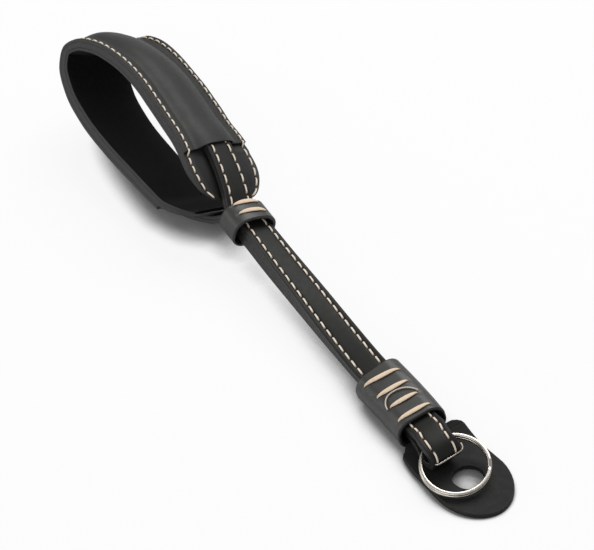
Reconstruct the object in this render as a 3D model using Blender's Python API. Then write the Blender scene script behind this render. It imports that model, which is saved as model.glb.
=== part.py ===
"""Leather camera wrist strap: padded wrist loop, doubled belt, keeper, sleeve, split ring and tab.

The strap runs along X, with the tab at +X and the wrist loop at -X. Lengths below are in
millimetres and are turned into metres where the bodies are made.
"""
import math

import bpy
from mathutils import Matrix, Vector

MM = 0.001

# belt: two plies stitched together, one long band
BELT_HALF = 5.25
PLY = 1.30
PLY_GAP = 0.08
RUN_PITCH = 3.02
BELT_ROW = 3.38
BELT_STITCH = 3.8
EDGE_EASE = 0.38

# stitched grooves and thread
GROOVE_HALF = 0.46
GROOVE_DEPTH = 0.50
THREAD_HALF = 0.33
THREAD_PROUD = 0.30
THREAD_SUNK = 0.22

# wrist pad: lining, base and cover
PAD_HALF = 14.0
PAD_ROW = 12.45
PAD_STITCH = 3.25
FLANGE_TOP = -0.20
COVER_FLOOR = -1.45
BASE_TOP = -1.60
BASE_FLOOR = -3.25
LINING_T = 1.05
LINING_SHORT = 3.4
HUMP_HALF = 8.3
HUMP_TOP = 3.1
MOUTH_TOP_X = -153.0
MOUTH_LOW_X = -153.0
TONGUE = 18.5

# wrist loop in its own leaning plane: distance along, height, sideways offset
LEAN = math.radians(30.8)
LOOP_UPPER = ((133.0, 4.55, 3.35, -18.6), (138.5, 8.1, 3.2, -20.5), (144.0, 11.1, 3.1, -22), (150.0, 13.5, 3.1, -24.5),
              (158.0, 16.0, 3.1, -28), (167.0, 18.1, 3.1, -30.3), (184.5, 20.6, 3.1, -30.8),
              (200.0, 20.4, 3.1, -30.8), (212.5, 17.2, 3.1, -30.8), (220.3, 12.3, 3.1, -30.8))
LOOP_END = (223.4, 6.4, 3.1, -30.8)
LOOP_LOWER = ((221.3, 0.2, 3.1, -30.8), (213.3, -5.6, 3.1, -30.8), (200.5, -9.3, 3.1, -30.8),
              (184.5, -10.7, 3.1, -30.8), (167.0, -10.6, 3.1, -30.3), (158.0, -9.9, 3.1, -28),
              (151.0, -8.6, 3.1, -24.5), (144.0, -5.7, 3.1, -22), (138.5, -2.7, 3.2, -20.5),
              (133.0, 0.95, 3.35, -18.6))

# straight of the strap, upper run: x, y, z, roll, distance to the lower run
STRAIGHT = ((-13.4, -3.2, 7.9, 6.5, 6.6), (-16.6, -2.7, 7.3, 7.5, 6.0), (-19.6, -2.2, 6.1, 9, 4.7),
            (-23.0, -1.7, 4.9, 11, 3.4), (-28.0, -1.1, 4.1, 13, 3.02), (-38.0, -0.5, 3.2, 15, 3.02),
            (-50.0, -0.2, 2.3, 15.5, 3.02), (-69.0, 1.0, 1.7, 10, 3.02), (-89.0, 2.5, 1.6, -1, 3.02),
            (-109.0, 3.9, 1.6, -11, 3.02), (-121.0, 4.9, 1.62, -15.5, 3.02),
            (-127.5, 5.3, 1.75, -17.5, 3.1))
NOSE_X = -10.9
NOSE_Y = -3.5
NOSE_Z = 4.6
NOSE_R = 3.3
NOSE_ROLL = 6.5
JOIN_X = -44.0

# keeper: short tube that slides on the doubled belt
FORK_X = -24.5
KEEPER_X = (-122.7, -131.5)
KEEPER_IN = (6.85, 3.85)
KEEPER_WALL = 1.4
KEEPER_AIM = -107.0
KEEPER_ROLL = -16.3
KEEPER_LIFT = 0.1
KEEPER_STITCH_X = (-129.4, -125.5)

# sleeve: long tube at the ring end
SLEEVE_X = (-22.2, -49.8)
SLEEVE_IN = (7.1, 4.3)
SLEEVE_WALL = 1.4
SLEEVE_DROP = 0.75
SLEEVE_STITCH_X = (-44.9, -38.6, -32.2, -25.8)
CORD_R = 0.72

# protector tab
TAB_T = 1.8
TAB_HALF = 12.5
TAB_NECK = 4.9
TAB_UNDER = 1.97
TAB_ROOT_T = 1.0
TAB_DIP = 1.35
TAB_TIP = 16.4
HOLE_R = 5.1

# split ring: two flattened turns
RING_OUT = 11.15
RING_WIRE = 1.22
RING_TURN = 1.0
RING_GAP = 0.08
RING_CENTRE = (-3.55, -2.4, 3.35)
RING_PITCH = 7.5
RING_ROLL = 6.5
RING_STEP_AT = 58.0
CLIP_R = 0.26

# the whole strap is tipped a little so that tab and wrist loop rest on the ground
REST_TILT = math.radians(4.84)

BELT_TOP = PLY + PLY_GAP / 2
REST = Matrix.Rotation(REST_TILT, 4, "Y")
SHIFT = Vector((104.6, -5.2, 3.9))


def clear():
    for ob in list(bpy.data.objects):
        bpy.data.objects.remove(ob, do_unlink=True)


clear()


def placed(p):
    q = REST @ Vector(p)
    return (q + SHIFT) * MM


def loop_point(a, v, off):
    return Vector((-a, math.sin(LEAN) * v + math.cos(LEAN) * off,
                   math.cos(LEAN) * v - math.sin(LEAN) * off))


def side_of(roll, along):
    r = math.radians(roll)
    w = Vector((0.0, math.cos(r), math.sin(r)))
    w = w - along * w.dot(along)
    return w.normalized()


class Path:
    """A smooth line through control points, each with a roll; answers by distance along it."""

    def __init__(self, points, closed=False):
        pts = [Vector(p[:3]) for p in points]
        rolls = [p[3] for p in points]
        n = len(pts)
        gaps = [max((pts[i + 1] - pts[i]).length, 1e-6) for i in range(n - 1)]

        def slope(vals, i):
            if i == 0:
                return (vals[1] - vals[0]) * (1.0 / gaps[0])
            if i == n - 1:
                return (vals[-1] - vals[-2]) * (1.0 / gaps[-1])
            a, b = gaps[i - 1], gaps[i]
            left = (vals[i] - vals[i - 1]) * (1.0 / a)
            right = (vals[i + 1] - vals[i]) * (1.0 / b)
            return left * (b / (a + b)) + right * (a / (a + b))

        self.pos = []
        self.roll = []
        for i in range(n - 1):
            g = gaps[i]
            m0, m1 = slope(pts, i) * g, slope(pts, i + 1) * g
            q0, q1 = slope(rolls, i) * g, slope(rolls, i + 1) * g
            for k in range(16):
                t = k / 16.0
                h0 = 2 * t ** 3 - 3 * t ** 2 + 1
                h1 = t ** 3 - 2 * t ** 2 + t
                h2 = -2 * t ** 3 + 3 * t ** 2
                h3 = t ** 3 - t ** 2
                self.pos.append(pts[i] * h0 + m0 * h1 + pts[i + 1] * h2 + m1 * h3)
                self.roll.append(rolls[i] * h0 + q0 * h1 + rolls[i + 1] * h2 + q1 * h3)
        self.pos.append(pts[-1])
        self.roll.append(rolls[-1])
        self.at = [0.0]
        for i in range(1, len(self.pos)):
            self.at.append(self.at[-1] + (self.pos[i] - self.pos[i - 1]).length)
        self.tan = []
        last = len(self.pos) - 1
        for i in range(last + 1):
            a, b = self.pos[max(i - 1, 0)], self.pos[min(i + 1, last)]
            self.tan.append((b - a).normalized())
        self.length = self.at[-1]

    def frame(self, s):
        s = min(max(s, 0.0), self.length)
        lo, hi = 0, len(self.at) - 1
        while hi - lo > 1:
            mid = (lo + hi) // 2
            if self.at[mid] <= s:
                lo = mid
            else:
                hi = mid
        t = (s - self.at[lo]) / max(self.at[hi] - self.at[lo], 1e-9)
        p = self.pos[lo].lerp(self.pos[hi], t)
        along = self.tan[lo].lerp(self.tan[hi], t).normalized()
        w = side_of(self.roll[lo] * (1 - t) + self.roll[hi] * t, along)
        return p, w, w.cross(along), along

    def roll_at(self, s):
        i = min(range(len(self.at)), key=lambda k: abs(self.at[k] - s))
        return self.roll[i]

    def point(self, s, w, n):
        p, side, out, along = self.frame(s)
        return p + side * w + out * n

    def find_x(self, x, s0, s1):
        """Distance along, between s0 and s1, at which the line reaches x."""
        best = s0
        for i in range(401):
            s = s0 + (s1 - s0) * i / 400.0
            if abs(self.frame(s)[0].x - x) < abs(self.frame(best)[0].x - x):
                best = s
        return best

    def stations(self, s0, s1, turn=9.0, step=7.0, twist=2.5):
        """Distances from s0 to s1, closer together where the line bends or twists."""
        out = [s0]
        s = s0
        ref = self.frame(s0)[3]
        lean = self.roll_at(s0)
        while s < s1:
            s += 0.25
            if s >= s1:
                break
            now = self.frame(s)[3]
            here = self.roll_at(s)
            if now.angle(ref) > math.radians(turn) or s - out[-1] > step or abs(here - lean) > twist:
                out.append(s)
                ref = now
                lean = here
        if s1 - out[-1] < 0.4 and len(out) > 1:
            out.pop()
        out.append(s1)
        return out


def body(name, rings, closed=False):
    """One closed body from rings of points given in order along it."""
    n = len(rings[0])
    verts = [placed(p) for ring in rings for p in ring]
    faces = []
    count = len(rings)
    spans = count if closed else count - 1
    for i in range(spans):
        a, b = i * n, ((i + 1) % count) * n
        for k in range(n):
            j = (k + 1) % n
            faces.append((a + k, a + j, b + j))
            faces.append((a + k, b + j, b + k))
    if not closed:
        faces.append(tuple(reversed(range(n))))
        faces.append(tuple(range((count - 1) * n, count * n)))
    mesh = bpy.data.meshes.new(name)
    mesh.from_pydata([tuple(v) for v in verts], [], faces)
    mesh.update()
    volume = 0.0
    mesh.calc_loop_triangles()
    for tri in mesh.loop_triangles:
        a, b, c = (mesh.vertices[i].co for i in tri.vertices)
        volume += a.dot(b.cross(c))
    if volume < 0:
        mesh.flip_normals()
    ob = bpy.data.objects.new(name, mesh)
    bpy.context.scene.collection.objects.link(ob)
    return ob


def swept(name, path, stations, section):
    rings = []
    for s in stations:
        p, side, out, along = path.frame(s)
        rings.append([p + side * w + out * n for w, n in section(s)])
    return body(name, rings)


def tube(name, points, radius, sides=8, flat=1.0, up=None, taper=None):
    """A round bar along points; up gives the direction in which flat squeezes it."""
    rings = []
    last = len(points) - 1
    for i, p in enumerate(points):
        a, b = points[max(i - 1, 0)], points[min(i + 1, last)]
        t = (b - a).normalized()
        ref = up[i] if up else Vector((0, 0, 1))
        n = (ref - t * ref.dot(t)).normalized()
        w = t.cross(n)
        r = radius * (taper[i] if taper else 1.0)
        rings.append([p + w * (r * math.cos(2 * math.pi * k / sides))
                      + n * (r * flat * math.sin(2 * math.pi * k / sides)) for k in range(sides)])
    return body(name, rings)


def on_facets(stations, s, w, n):
    """Point over a swept body's flat facets, between two of its stations."""
    lo, hi = 0, len(stations) - 1
    while hi - lo > 1:
        mid = (lo + hi) // 2
        if stations[mid] <= s:
            lo = mid
        else:
            hi = mid
    a, b = stations[lo], stations[hi]
    t = (s - a) / (b - a)
    return BELT.point(a, w, n).lerp(BELT.point(b, w, n), t)


def smooth(t):
    t = min(max(t, 0.0), 1.0)
    return t * t * (3 - 2 * t)


# the belt's line
def build_belt_line():
    upper = []
    lower = []
    for p in STRAIGHT:
        r = math.radians(p[3])
        drop = Vector((0.0, math.sin(r), -math.cos(r))) * p[4]
        upper.append(p[:4])
        lower.append(tuple(Vector(p[:3]) + drop) + (p[3],))
    axis = side_of(NOSE_ROLL, Vector((1, 0, 0)))
    centre = Vector((NOSE_X, NOSE_Y, NOSE_Z))
    rise = Vector((1, 0, 0)).cross(axis)
    nose = []
    for deg in (-90, -60, -30, 0, 30, 60, 90):
        a = math.radians(deg)
        q = centre + Vector((1, 0, 0)) * (NOSE_R * math.cos(a)) + rise * (NOSE_R * math.sin(a))
        nose.append(tuple(q) + (NOSE_ROLL,))
    # the tunnel's two walls are level beside the nose
    flat_up = centre + Vector((-13.4 - NOSE_X, 0.3, 0)) + rise * NOSE_R
    flat_low = centre + Vector((-13.4 - NOSE_X, 0.3, 0)) - rise * NOSE_R
    upper[0] = tuple(flat_up) + (NOSE_ROLL,)
    lower[0] = tuple(flat_low) + (NOSE_ROLL,)
    loop = [tuple(loop_point(a, v, o)) + (r,) for a, v, o, r in LOOP_UPPER + (LOOP_END,) + LOOP_LOWER]
    back = list(reversed(lower))
    join = [q for q in lower if q[0] > JOIN_X]
    start = [tuple(Path(lower).frame(0)[0])]
    line = list(reversed(join)) + nose + upper + loop + back
    return line, lower


LINE, LOWER = build_belt_line()
low_path = Path(LOWER)
join_s = low_path.find_x(JOIN_X, 0, low_path.length)
jp = low_path.frame(join_s)
jr = 15.2
first = tuple(jp[0]) + (jr,)
tail = [q for q in LINE[-len(LOWER):] if q[0] < JOIN_X - 0.5]
head = LINE[:-len(LOWER)]
BELT = Path([first] + head + tail + [tuple(jp[0] + Vector((-0.4, 0, 0))) + (jr,)])

half_way = 0.5 * BELT.length
S_NOSE = BELT.find_x(NOSE_X + NOSE_R, 0.0, 60.0)
S_END = BELT.find_x(-LOOP_END[0], 180.0, 330.0)
S_MOUTH_UP = BELT.find_x(MOUTH_TOP_X, S_NOSE, S_END)
S_MOUTH_LOW = BELT.find_x(MOUTH_LOW_X, S_END, BELT.length)
S_TIP_UP = S_MOUTH_UP - TONGUE
S_TIP_LOW = S_MOUTH_LOW + TONGUE


def upper_s(x):
    return BELT.find_x(x, S_NOSE, S_END)


def lower_s(x):
    return BELT.find_x(x, S_END, BELT.length)


# belt plies
def outer_ply(s):
    top = BELT_TOP
    low = PLY_GAP / 2
    b = BELT_HALF
    e = EDGE_EASE
    r, g, d = BELT_ROW, GROOVE_HALF, GROOVE_DEPTH
    right = [(b, low), (b, top - e), (b - e, top), (r + g, top), (r + g, top - d), (r - g, top - d),
             (r - g, top)]
    return right + [(-w, n) for w, n in reversed(right)]


def inner_ply(s):
    top = BELT_TOP
    low = PLY_GAP / 2
    b = BELT_HALF
    e = EDGE_EASE
    right = [(b, -low), (b, e - top), (b - e, -top)]
    return right + [(-w, n) for w, n in reversed(right)]


belt_stations = BELT.stations(0.0, BELT.length, 8.0, 6.0)
swept("belt_outer_ply", BELT, belt_stations, outer_ply)
swept("belt_inner_ply", BELT, belt_stations, inner_ply)


# stitched rows
def seam(name, place, s0, s1, pitch, shown):
    """A thread that rises for each stitch and dips between them; plain where it is covered."""
    rings = []

    def add(s, high):
        w, top = place(s)
        crest = top - THREAD_SUNK + (THREAD_PROUD + THREAD_SUNK) * high
        foot = top - GROOVE_DEPTH + 0.13
        h = THREAD_HALF
        ring = [(w - h, foot), (w + h, foot), (w + h * 0.8, crest), (w - h * 0.8, crest)]
        rings.append([on_facets(belt_stations, s, a, b) for a, b in ring])

    count = int((s1 - s0) / pitch)
    step = (s1 - s0) / count
    marks = [(s0, 0.0), (s1, 0.0)]
    for i in range(count):
        s = s0 + i * step
        if shown(s + 0.4 * step):
            marks += [(s + 0.02, 0.0), (s + 0.14 * step, 1.0), (s + 0.74 * step, 1.0)]
            marks += [(s + 0.96 * step, 0.0)] if not shown(s + 1.4 * step) else []
    marks.sort()
    inner = []
    for i in range(1, len(belt_stations) - 1):
        s = belt_stations[i]
        tight = belt_stations[i + 1] - belt_stations[i - 1] < 2.6
        near = min(abs(s - m[0]) for m in marks)
        if near < 0.12 or (shown(s) and not tight):
            continue
        a = max(m for m in marks if m[0] < s)
        b = min(m for m in marks if m[0] > s)
        inner.append((s, a[1] + (b[1] - a[1]) * (s - a[0]) / (b[0] - a[0])))
    for s, high in sorted(marks + inner):
        add(s, high)
    return body(name, rings)


KEEP_UP = (upper_s(KEEPER_X[0]), upper_s(KEEPER_X[1]))
KEEP_LOW = (lower_s(KEEPER_X[1]), lower_s(KEEPER_X[0]))
SLEEVE_UP = (upper_s(SLEEVE_X[0]), upper_s(SLEEVE_X[1]))
SLEEVE_LOW = lower_s(SLEEVE_X[1])


def belt_shown(s):
    if s < 21.0:
        return False
    if SLEEVE_UP[0] + 2 < s < SLEEVE_UP[1] - 3:
        return False
    if S_MOUTH_UP + 2 < s < S_MOUTH_LOW - 3:
        return False
    return s < SLEEVE_LOW + 1


swept_len = BELT.length
for tag, sign in (("near", -1), ("far", 1)):
    seam("belt_seam_" + tag, lambda s, q=sign: (q * BELT_ROW, BELT_TOP), 0.6, swept_len - 0.6,
         BELT_STITCH, belt_shown)


# wrist pad
def beyond(s):
    """How far s lies outside the cover, along the tongue of the base."""
    if s < S_MOUTH_UP:
        return S_MOUTH_UP - s
    if s > S_MOUTH_LOW:
        return s - S_MOUTH_LOW
    return 0.0


def base_half(s):
    t = beyond(s) / TONGUE
    if t <= 0.15:
        return PAD_HALF
    u = min((t - 0.15) / 0.85, 1.0)
    return TONGUE_TIP + (PAD_HALF - TONGUE_TIP) * math.sqrt(max(1 - u ** 2.2, 0.0))


TONGUE_TIP = 5.6


def base_floor(s):
    """The base is pared thinner towards the tips of its tongues."""
    return BASE_FLOOR + 0.85 * smooth((beyond(s) / TONGUE - 0.35) / 0.65)


def base_section(s):
    h = base_half(s)
    t = beyond(s) / TONGUE
    floor = base_floor(s)
    row = max(h - (PAD_HALF - PAD_ROW), 4.3)
    d = GROOVE_DEPTH if t > 0.0 else 0.02
    g = GROOVE_HALF
    right = [(h, floor + 0.25), (h, BASE_TOP - 0.25), (h - 0.3, BASE_TOP), (row + g, BASE_TOP), (row + g, BASE_TOP - d),
             (row - g, BASE_TOP - d), (row - g, BASE_TOP)]
    return [(h - 0.3, floor)] + right + [(-w, n) for w, n in reversed(right)] + [(0.3 - h, floor)]


def tongue_stations(step):
    up = [S_TIP_UP + TONGUE * f for f in (0.0, 0.02, 0.06, 0.13, 0.23, 0.36, 0.52, 0.7, 0.86)]
    low = [S_TIP_LOW - TONGUE * f for f in (0.86, 0.7, 0.52, 0.36, 0.23, 0.13, 0.06, 0.02, 0.0)]
    mid = BELT.stations(S_MOUTH_UP, S_MOUTH_LOW, 8.0, step, 0.9)
    return up, mid, low


up_st, mid_st, low_st = tongue_stations(6.0)
edge = 0.05
pad_stations = up_st + [S_MOUTH_UP - edge] + mid_st + [S_MOUTH_LOW + edge] + low_st
swept("pad_base", BELT, pad_stations, base_section)


def lining_section(s):
    h = base_half(s) - 0.25
    top = base_floor(s) - 0.08
    low = top - LINING_T * (1 - 0.45 * smooth((beyond(s) / TONGUE - 0.2) / 0.6))
    return [(h, top), (h, low + 0.25), (h - 0.3, low), (0.3 - h, low), (-h, low + 0.25), (-h, top)]


lining_st = [s for s in pad_stations if S_TIP_UP + LINING_SHORT + 0.2 < s < S_TIP_LOW - LINING_SHORT - 0.2]
lining_st = [S_TIP_UP + LINING_SHORT] + lining_st + [S_TIP_LOW - LINING_SHORT]
swept("pad_lining", BELT, lining_st, lining_section)


def cover_section(s):
    g, d = GROOVE_HALF, GROOVE_DEPTH
    r = PAD_ROW
    right = [(PAD_HALF, COVER_FLOOR), (PAD_HALF, FLANGE_TOP - 0.35), (PAD_HALF - 0.4, FLANGE_TOP),
             (r + g, FLANGE_TOP), (r + g, FLANGE_TOP - d), (r - g, FLANGE_TOP - d), (r - g, FLANGE_TOP),
             (HUMP_HALF + 0.5, FLANGE_TOP), (HUMP_HALF - 0.5, 0.3), (HUMP_HALF - 1.2, 1.45), (6.0, 2.35),
             (4.0, 2.95), (1.6, HUMP_TOP)]
    inner = [(1.6, 1.86), (4.9, 1.82), (5.8, 1.3), (6.2, 0.2), (7.0, COVER_FLOOR)]
    ring = right + [(-w, n) for w, n in reversed(right)]
    ring += [(-w, n) for w, n in reversed(inner)] + inner
    return ring


swept("pad_cover", BELT, mid_st, cover_section)


def pad_row(s, sign):
    h = base_half(s)
    row = max(h - (PAD_HALF - PAD_ROW), 4.3)
    past = beyond(s)
    if past <= 0.3:
        return sign * PAD_ROW, FLANGE_TOP
    return sign * row, BASE_TOP


def pad_seam(name, sign):
    """Runs along the cover, steps down over its cut ends and follows the base's tongues."""
    rings = []

    def add(s, high, foot_top=None):
        w, top = pad_row(s, sign)
        if foot_top is not None:
            top = foot_top
        crest = top + (THREAD_PROUD if high else -THREAD_SUNK)
        foot = top - GROOVE_DEPTH + 0.13
        h = THREAD_HALF
        ring = [(w - h, foot), (w + h, foot), (w + h * 0.8, crest), (w - h * 0.8, crest)]
        rings.append([on_facets(pad_stations, s, a, b) for a, b in ring])

    def row(s0, s1, lead_low=True):
        count = max(int(round((s1 - s0) / PAD_STITCH)), 1)
        step = (s1 - s0) / count
        for i in range(count):
            s = s0 + i * step
            add(s + 0.02, False)
            add(s + 0.14 * step, True)
            add(s + 0.76 * step, True)

    row(S_TIP_UP + 2.2, S_MOUTH_UP - 1.3)
    add(S_MOUTH_UP - 1.2, True)
    add(S_MOUTH_UP - 0.75, True)
    add(S_MOUTH_UP - 0.28, True)
    row(S_MOUTH_UP + 1.0, S_MOUTH_LOW - 1.0)
    add(S_MOUTH_LOW - 0.95, False)
    add(S_MOUTH_LOW + 0.28, True)
    add(S_MOUTH_LOW + 0.75, True)
    row(S_MOUTH_LOW + 1.3, S_TIP_LOW - 2.2)
    add(S_TIP_LOW - 2.2, False)
    return body(name, rings)


pad_seam("pad_seam_near", -1)
pad_seam("pad_seam_far", 1)


# keeper and sleeve
def oval(half_w, half_h, corner, sides=5):
    """Outline of a rounded box, starting at its right side and going round by the top."""
    out = []
    for cx, cy, a0 in ((1, 1, 0), (-1, 1, 90), (-1, -1, 180), (1, -1, 270)):
        for k in range(sides):
            a = math.radians(a0 + 90.0 * k / (sides - 1))
            out.append((cx * (half_w - corner) + corner * math.cos(a),
                        cy * (half_h - corner) + corner * math.sin(a)))
    return out


def runs_at(x):
    """Upper and lower run of the doubled belt at x, and its side direction."""
    p, side, out, along = BELT.frame(upper_s(x))
    low = lower_s(x) if x < JOIN_X - 1 else BELT.find_x(x, 0.0, S_NOSE)
    q = BELT.frame(low)[0] if abs(x - JOIN_X) > 1 else p - out * RUN_PITCH
    return p, q, side


def mid_frame(x):
    """Middle of the doubled belt at x: point, side, out and along directions."""
    p, q, side = runs_at(x)
    ahead = min(x + 2.0, FORK_X)
    a, b, skip = runs_at(ahead)
    c, d, skip = runs_at(ahead - 4.0)
    along = (c.lerp(d, 0.5) - a.lerp(b, 0.5)).normalized()
    side = (side - along * side.dot(along)).normalized()
    return p.lerp(q, 0.5), side, side.cross(along), along


def under_belt(x):
    """Point below the lower run at x, clear of its thread, with the belt's directions."""
    p, q, skip = runs_at(x)
    mid, side, out, along = mid_frame(x)
    return mid - out * ((p - q).length / 2 + TAB_UNDER), side


def hollow(name, frames, outer, inner, drop=0.0):
    """A tube from frames, outside and inside outlines."""
    n = len(outer)
    verts = []
    for outline in (outer, inner):
        for p, side, out, along in frames:
            verts += [placed(p + side * w + out * (h - drop)) for w, h in outline]
    m = len(frames)
    faces = []
    for i in range(m - 1):
        for k in range(n):
            j = (k + 1) % n
            a, b = i * n, (i + 1) * n
            faces.append((a + k, a + j, b + j, b + k))
            c, d = (m + i) * n, (m + i + 1) * n
            faces.append((c + k, d + k, d + j, c + j))
    for k in range(n):
        j = (k + 1) % n
        faces.append((k, m * n + k, m * n + j, j))
        a, c = (m - 1) * n, (2 * m - 1) * n
        faces.append((a + k, a + j, c + j, c + k))
    mesh = bpy.data.meshes.new(name)
    mesh.from_pydata([tuple(v) for v in verts], [], faces)
    mesh.update()
    mesh.calc_loop_triangles()
    volume = 0.0
    for tri in mesh.loop_triangles:
        a, b, c = (mesh.vertices[i].co for i in tri.vertices)
        volume += a.dot(b.cross(c))
    if volume < 0:
        mesh.flip_normals()
    ob = bpy.data.objects.new(name, mesh)
    bpy.context.scene.collection.objects.link(ob)
    return ob


def straight_frames(x0, x1, aim):
    """Frames of a straight tube that points along the belt towards the place aim."""
    near, far = mid_frame(x0), mid_frame(aim)
    along = (near[0] - far[0]).normalized()
    mid = mid_frame(0.5 * (x0 + x1))
    side = side_of(KEEPER_ROLL, along)
    out = side.cross(along)
    half = abs(x1 - x0) / 2
    centre = mid[0] + out * KEEPER_LIFT
    return [(centre - along * half, side, out, along), (centre + along * half, side, out, along)]


keeper_frames = straight_frames(KEEPER_X[0], KEEPER_X[1], KEEPER_AIM)
keeper_out = oval(KEEPER_IN[0] + KEEPER_WALL, KEEPER_IN[1] + KEEPER_WALL, 3.6, 6)
hollow("keeper", keeper_frames, keeper_out, oval(KEEPER_IN[0], KEEPER_IN[1], 2.4, 6))

sleeve_frames = [mid_frame(SLEEVE_X[0] + (SLEEVE_X[1] - SLEEVE_X[0]) * i / 4.0) for i in range(5)]
sleeve_out = oval(SLEEVE_IN[0] + SLEEVE_WALL, SLEEVE_IN[1] + SLEEVE_WALL, 4.3, 6)
hollow("sleeve", sleeve_frames, sleeve_out, oval(SLEEVE_IN[0], SLEEVE_IN[1], 2.9, 6), SLEEVE_DROP)


def frame_on(frames, x):
    """Frame of a tube at x, between the two nearest of its own frames."""
    xs = [f[0].x for f in frames]
    for i in range(len(frames) - 1):
        a, b = xs[i], xs[i + 1]
        if min(a, b) - 1e-6 <= x <= max(a, b) + 1e-6:
            t = (x - a) / (b - a)
            return [u.lerp(v, t) for u, v in zip(frames[i], frames[i + 1])]
    return list(frames[-1])


def cross_stitch(name, frames, outline, x, drop, reach, skew):
    """A thick thread laid over the tube's upper side, its ends going down to the leather."""
    top = [q for q in outline if q[1] > 0]
    top.sort(key=lambda q: -q[0])
    pts = []
    ups = []
    fat = []
    walk = [0.0]
    for i in range(1, len(top)):
        walk.append(walk[-1] + math.dist(top[i], top[i - 1]))
    total = walk[-1]
    lo, hi = total * reach, total * (1 - reach)
    steps = 13
    for k in range(steps):
        d = lo + (hi - lo) * k / (steps - 1)
        i = max(j for j in range(len(walk)) if walk[j] <= d + 1e-9)
        i = min(i, len(walk) - 2)
        t = (d - walk[i]) / (walk[i + 1] - walk[i])
        w = top[i][0] * (1 - t) + top[i + 1][0] * t
        h = top[i][1] * (1 - t) + top[i + 1][1] * t
        nx, ny = top[i][1] - top[i + 1][1], top[i + 1][0] - top[i][0]
        size = math.hypot(nx, ny)
        nx, ny = nx / size, ny / size
        if ny < 0:
            nx, ny = -nx, -ny
        u = 2.0 * k / (steps - 1) - 1
        belly = 1.0 - abs(u) ** 4
        size_here = 0.42 + 0.58 * belly
        lift = 0.20 + CORD_R * 0.8 * size_here
        p, side, out, along = frame_on(frames, x + skew * u)
        pts.append(p + side * (w + nx * lift) + out * (h + ny * lift - drop))
        ups.append(side * nx + out * ny)
        fat.append(size_here)
    return tube(name, pts, CORD_R, 7, 0.8, ups, fat)


for i, x in enumerate(KEEPER_STITCH_X):
    cross_stitch("keeper_stitch_%d" % (i + 1), keeper_frames, keeper_out, x, 0.0, 0.2, -0.8)
for i, x in enumerate(SLEEVE_STITCH_X):
    cross_stitch("sleeve_stitch_%d" % (i + 1), sleeve_frames, sleeve_out, x, SLEEVE_DROP, 0.19, -1.2)


# protector tab
def tab_half(x):
    start = SLEEVE_X[0] + 1.1
    if x < start:
        return TAB_NECK
    if x < -18.0:
        t = (x - start) / (-18.0 - start)
        return TAB_NECK + (11.2 - TAB_NECK) * math.sqrt(max(1 - (1 - t) ** 2, 0.0))
    if x < 1.0:
        return 11.2 + (TAB_HALF - 11.2) * smooth((x + 18.0) / 19.0)
    return TAB_HALF * math.sqrt(max(1 - ((x - 1.0) / (TAB_TIP - 1.0)) ** 2, 0.0))


def tab_top(x):
    """Centre height of the tab's upper face, and its roll, at x."""
    if x < SLEEVE_X[0]:
        return under_belt(x)
    t = smooth((x - SLEEVE_X[0]) / 10.0)
    root, side = under_belt(SLEEVE_X[0])
    rest = Vector((x, 0.0, -TAB_DIP * (1 - smooth((x + 10.0) / 11.0))))
    root = Vector((x, root.y, root.z))
    q = root.lerp(rest, t)
    s = side.lerp(Vector((0, 1, 0)), t).normalized()
    return q, s


tab_x = [-47.5, -40.0, -30.0, -24.0, -22.0, -21.1, -20.9, -20.5, -19.8, -19.0, -18.0, -15.0, -12.0, -8.0, -4.0, 1.0]
for k in range(1, 12):
    tab_x.append(1.0 + (TAB_TIP - 1.0) * math.sin(math.pi / 2 * k / 12.0))
tab_x.append(TAB_TIP - 0.03)
tab_rings = []
for x in tab_x:
    q, side = tab_top(x)
    h = max(tab_half(x), 0.6)
    thick = TAB_ROOT_T + (TAB_T - TAB_ROOT_T) * smooth((x - SLEEVE_X[0] - 0.5) / 5.0)
    down = side.cross(Vector((1, 0, 0))).normalized()
    if down.z > 0:
        down = -down
    e = min(0.3, h * 0.4)
    tab_rings.append([q + side * (h - e), q + side * h + down * e, q + side * h + down * (thick - e),
                      q + side * (h - e) + down * thick, q - side * (h - e) + down * thick,
                      q - side * h + down * (thick - e), q - side * h + down * e, q - side * (h - e)])
tab = body("protector_tab", tab_rings)
hole = []
for z in (-6.0, 4.0):
    hole.append([Vector((HOLE_R * math.cos(2 * math.pi * k / 40), HOLE_R * math.sin(2 * math.pi * k / 40), z))
                 for k in range(40)])
punch = body("tab_punch", hole)
punch.hide_render = True
punch.display_type = "WIRE"
cut = tab.modifiers.new("hole", "BOOLEAN")
cut.operation = "DIFFERENCE"
cut.solver = "EXACT"
cut.object = punch


# split ring
ring_axis = side_of(RING_ROLL, Vector((math.cos(math.radians(RING_PITCH)), 0, -math.sin(math.radians(RING_PITCH)))))
ring_fore = Vector((math.cos(math.radians(RING_PITCH)), 0, -math.sin(math.radians(RING_PITCH))))
ring_up = ring_fore.cross(ring_axis)


def build_ring():
    """Two flattened turns, one above the other, joined by a short step."""
    centre = Vector(RING_CENTRE)
    rise = RING_TURN + RING_GAP
    rings = []
    steps = 96
    total = 2 * 360.0 - 14.0
    start = RING_STEP_AT + 7.0
    for i in range(steps + 1):
        deg = total * i / steps
        level = -0.5 + smooth((deg - 339.0) / 22.0)
        a = math.radians(start + deg)
        u = ring_fore * math.cos(a) + ring_axis * math.sin(a)
        mid = centre + ring_up * (level * rise)
        r1, r0 = RING_OUT, RING_OUT - RING_WIRE
        h = RING_TURN / 2
        c = 0.3
        rings.append([mid + u * r1 + ring_up * (c - h), mid + u * r1 + ring_up * (h - c), mid + u * (r1 - c) + ring_up * h,
                      mid + u * (r0 + c) + ring_up * h, mid + u * r0 + ring_up * (h - c), mid + u * r0 + ring_up * (c - h),
                      mid + u * (r0 + c) - ring_up * h, mid + u * (r1 - c) - ring_up * h])
    return body("split_ring", rings)


build_ring()


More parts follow.
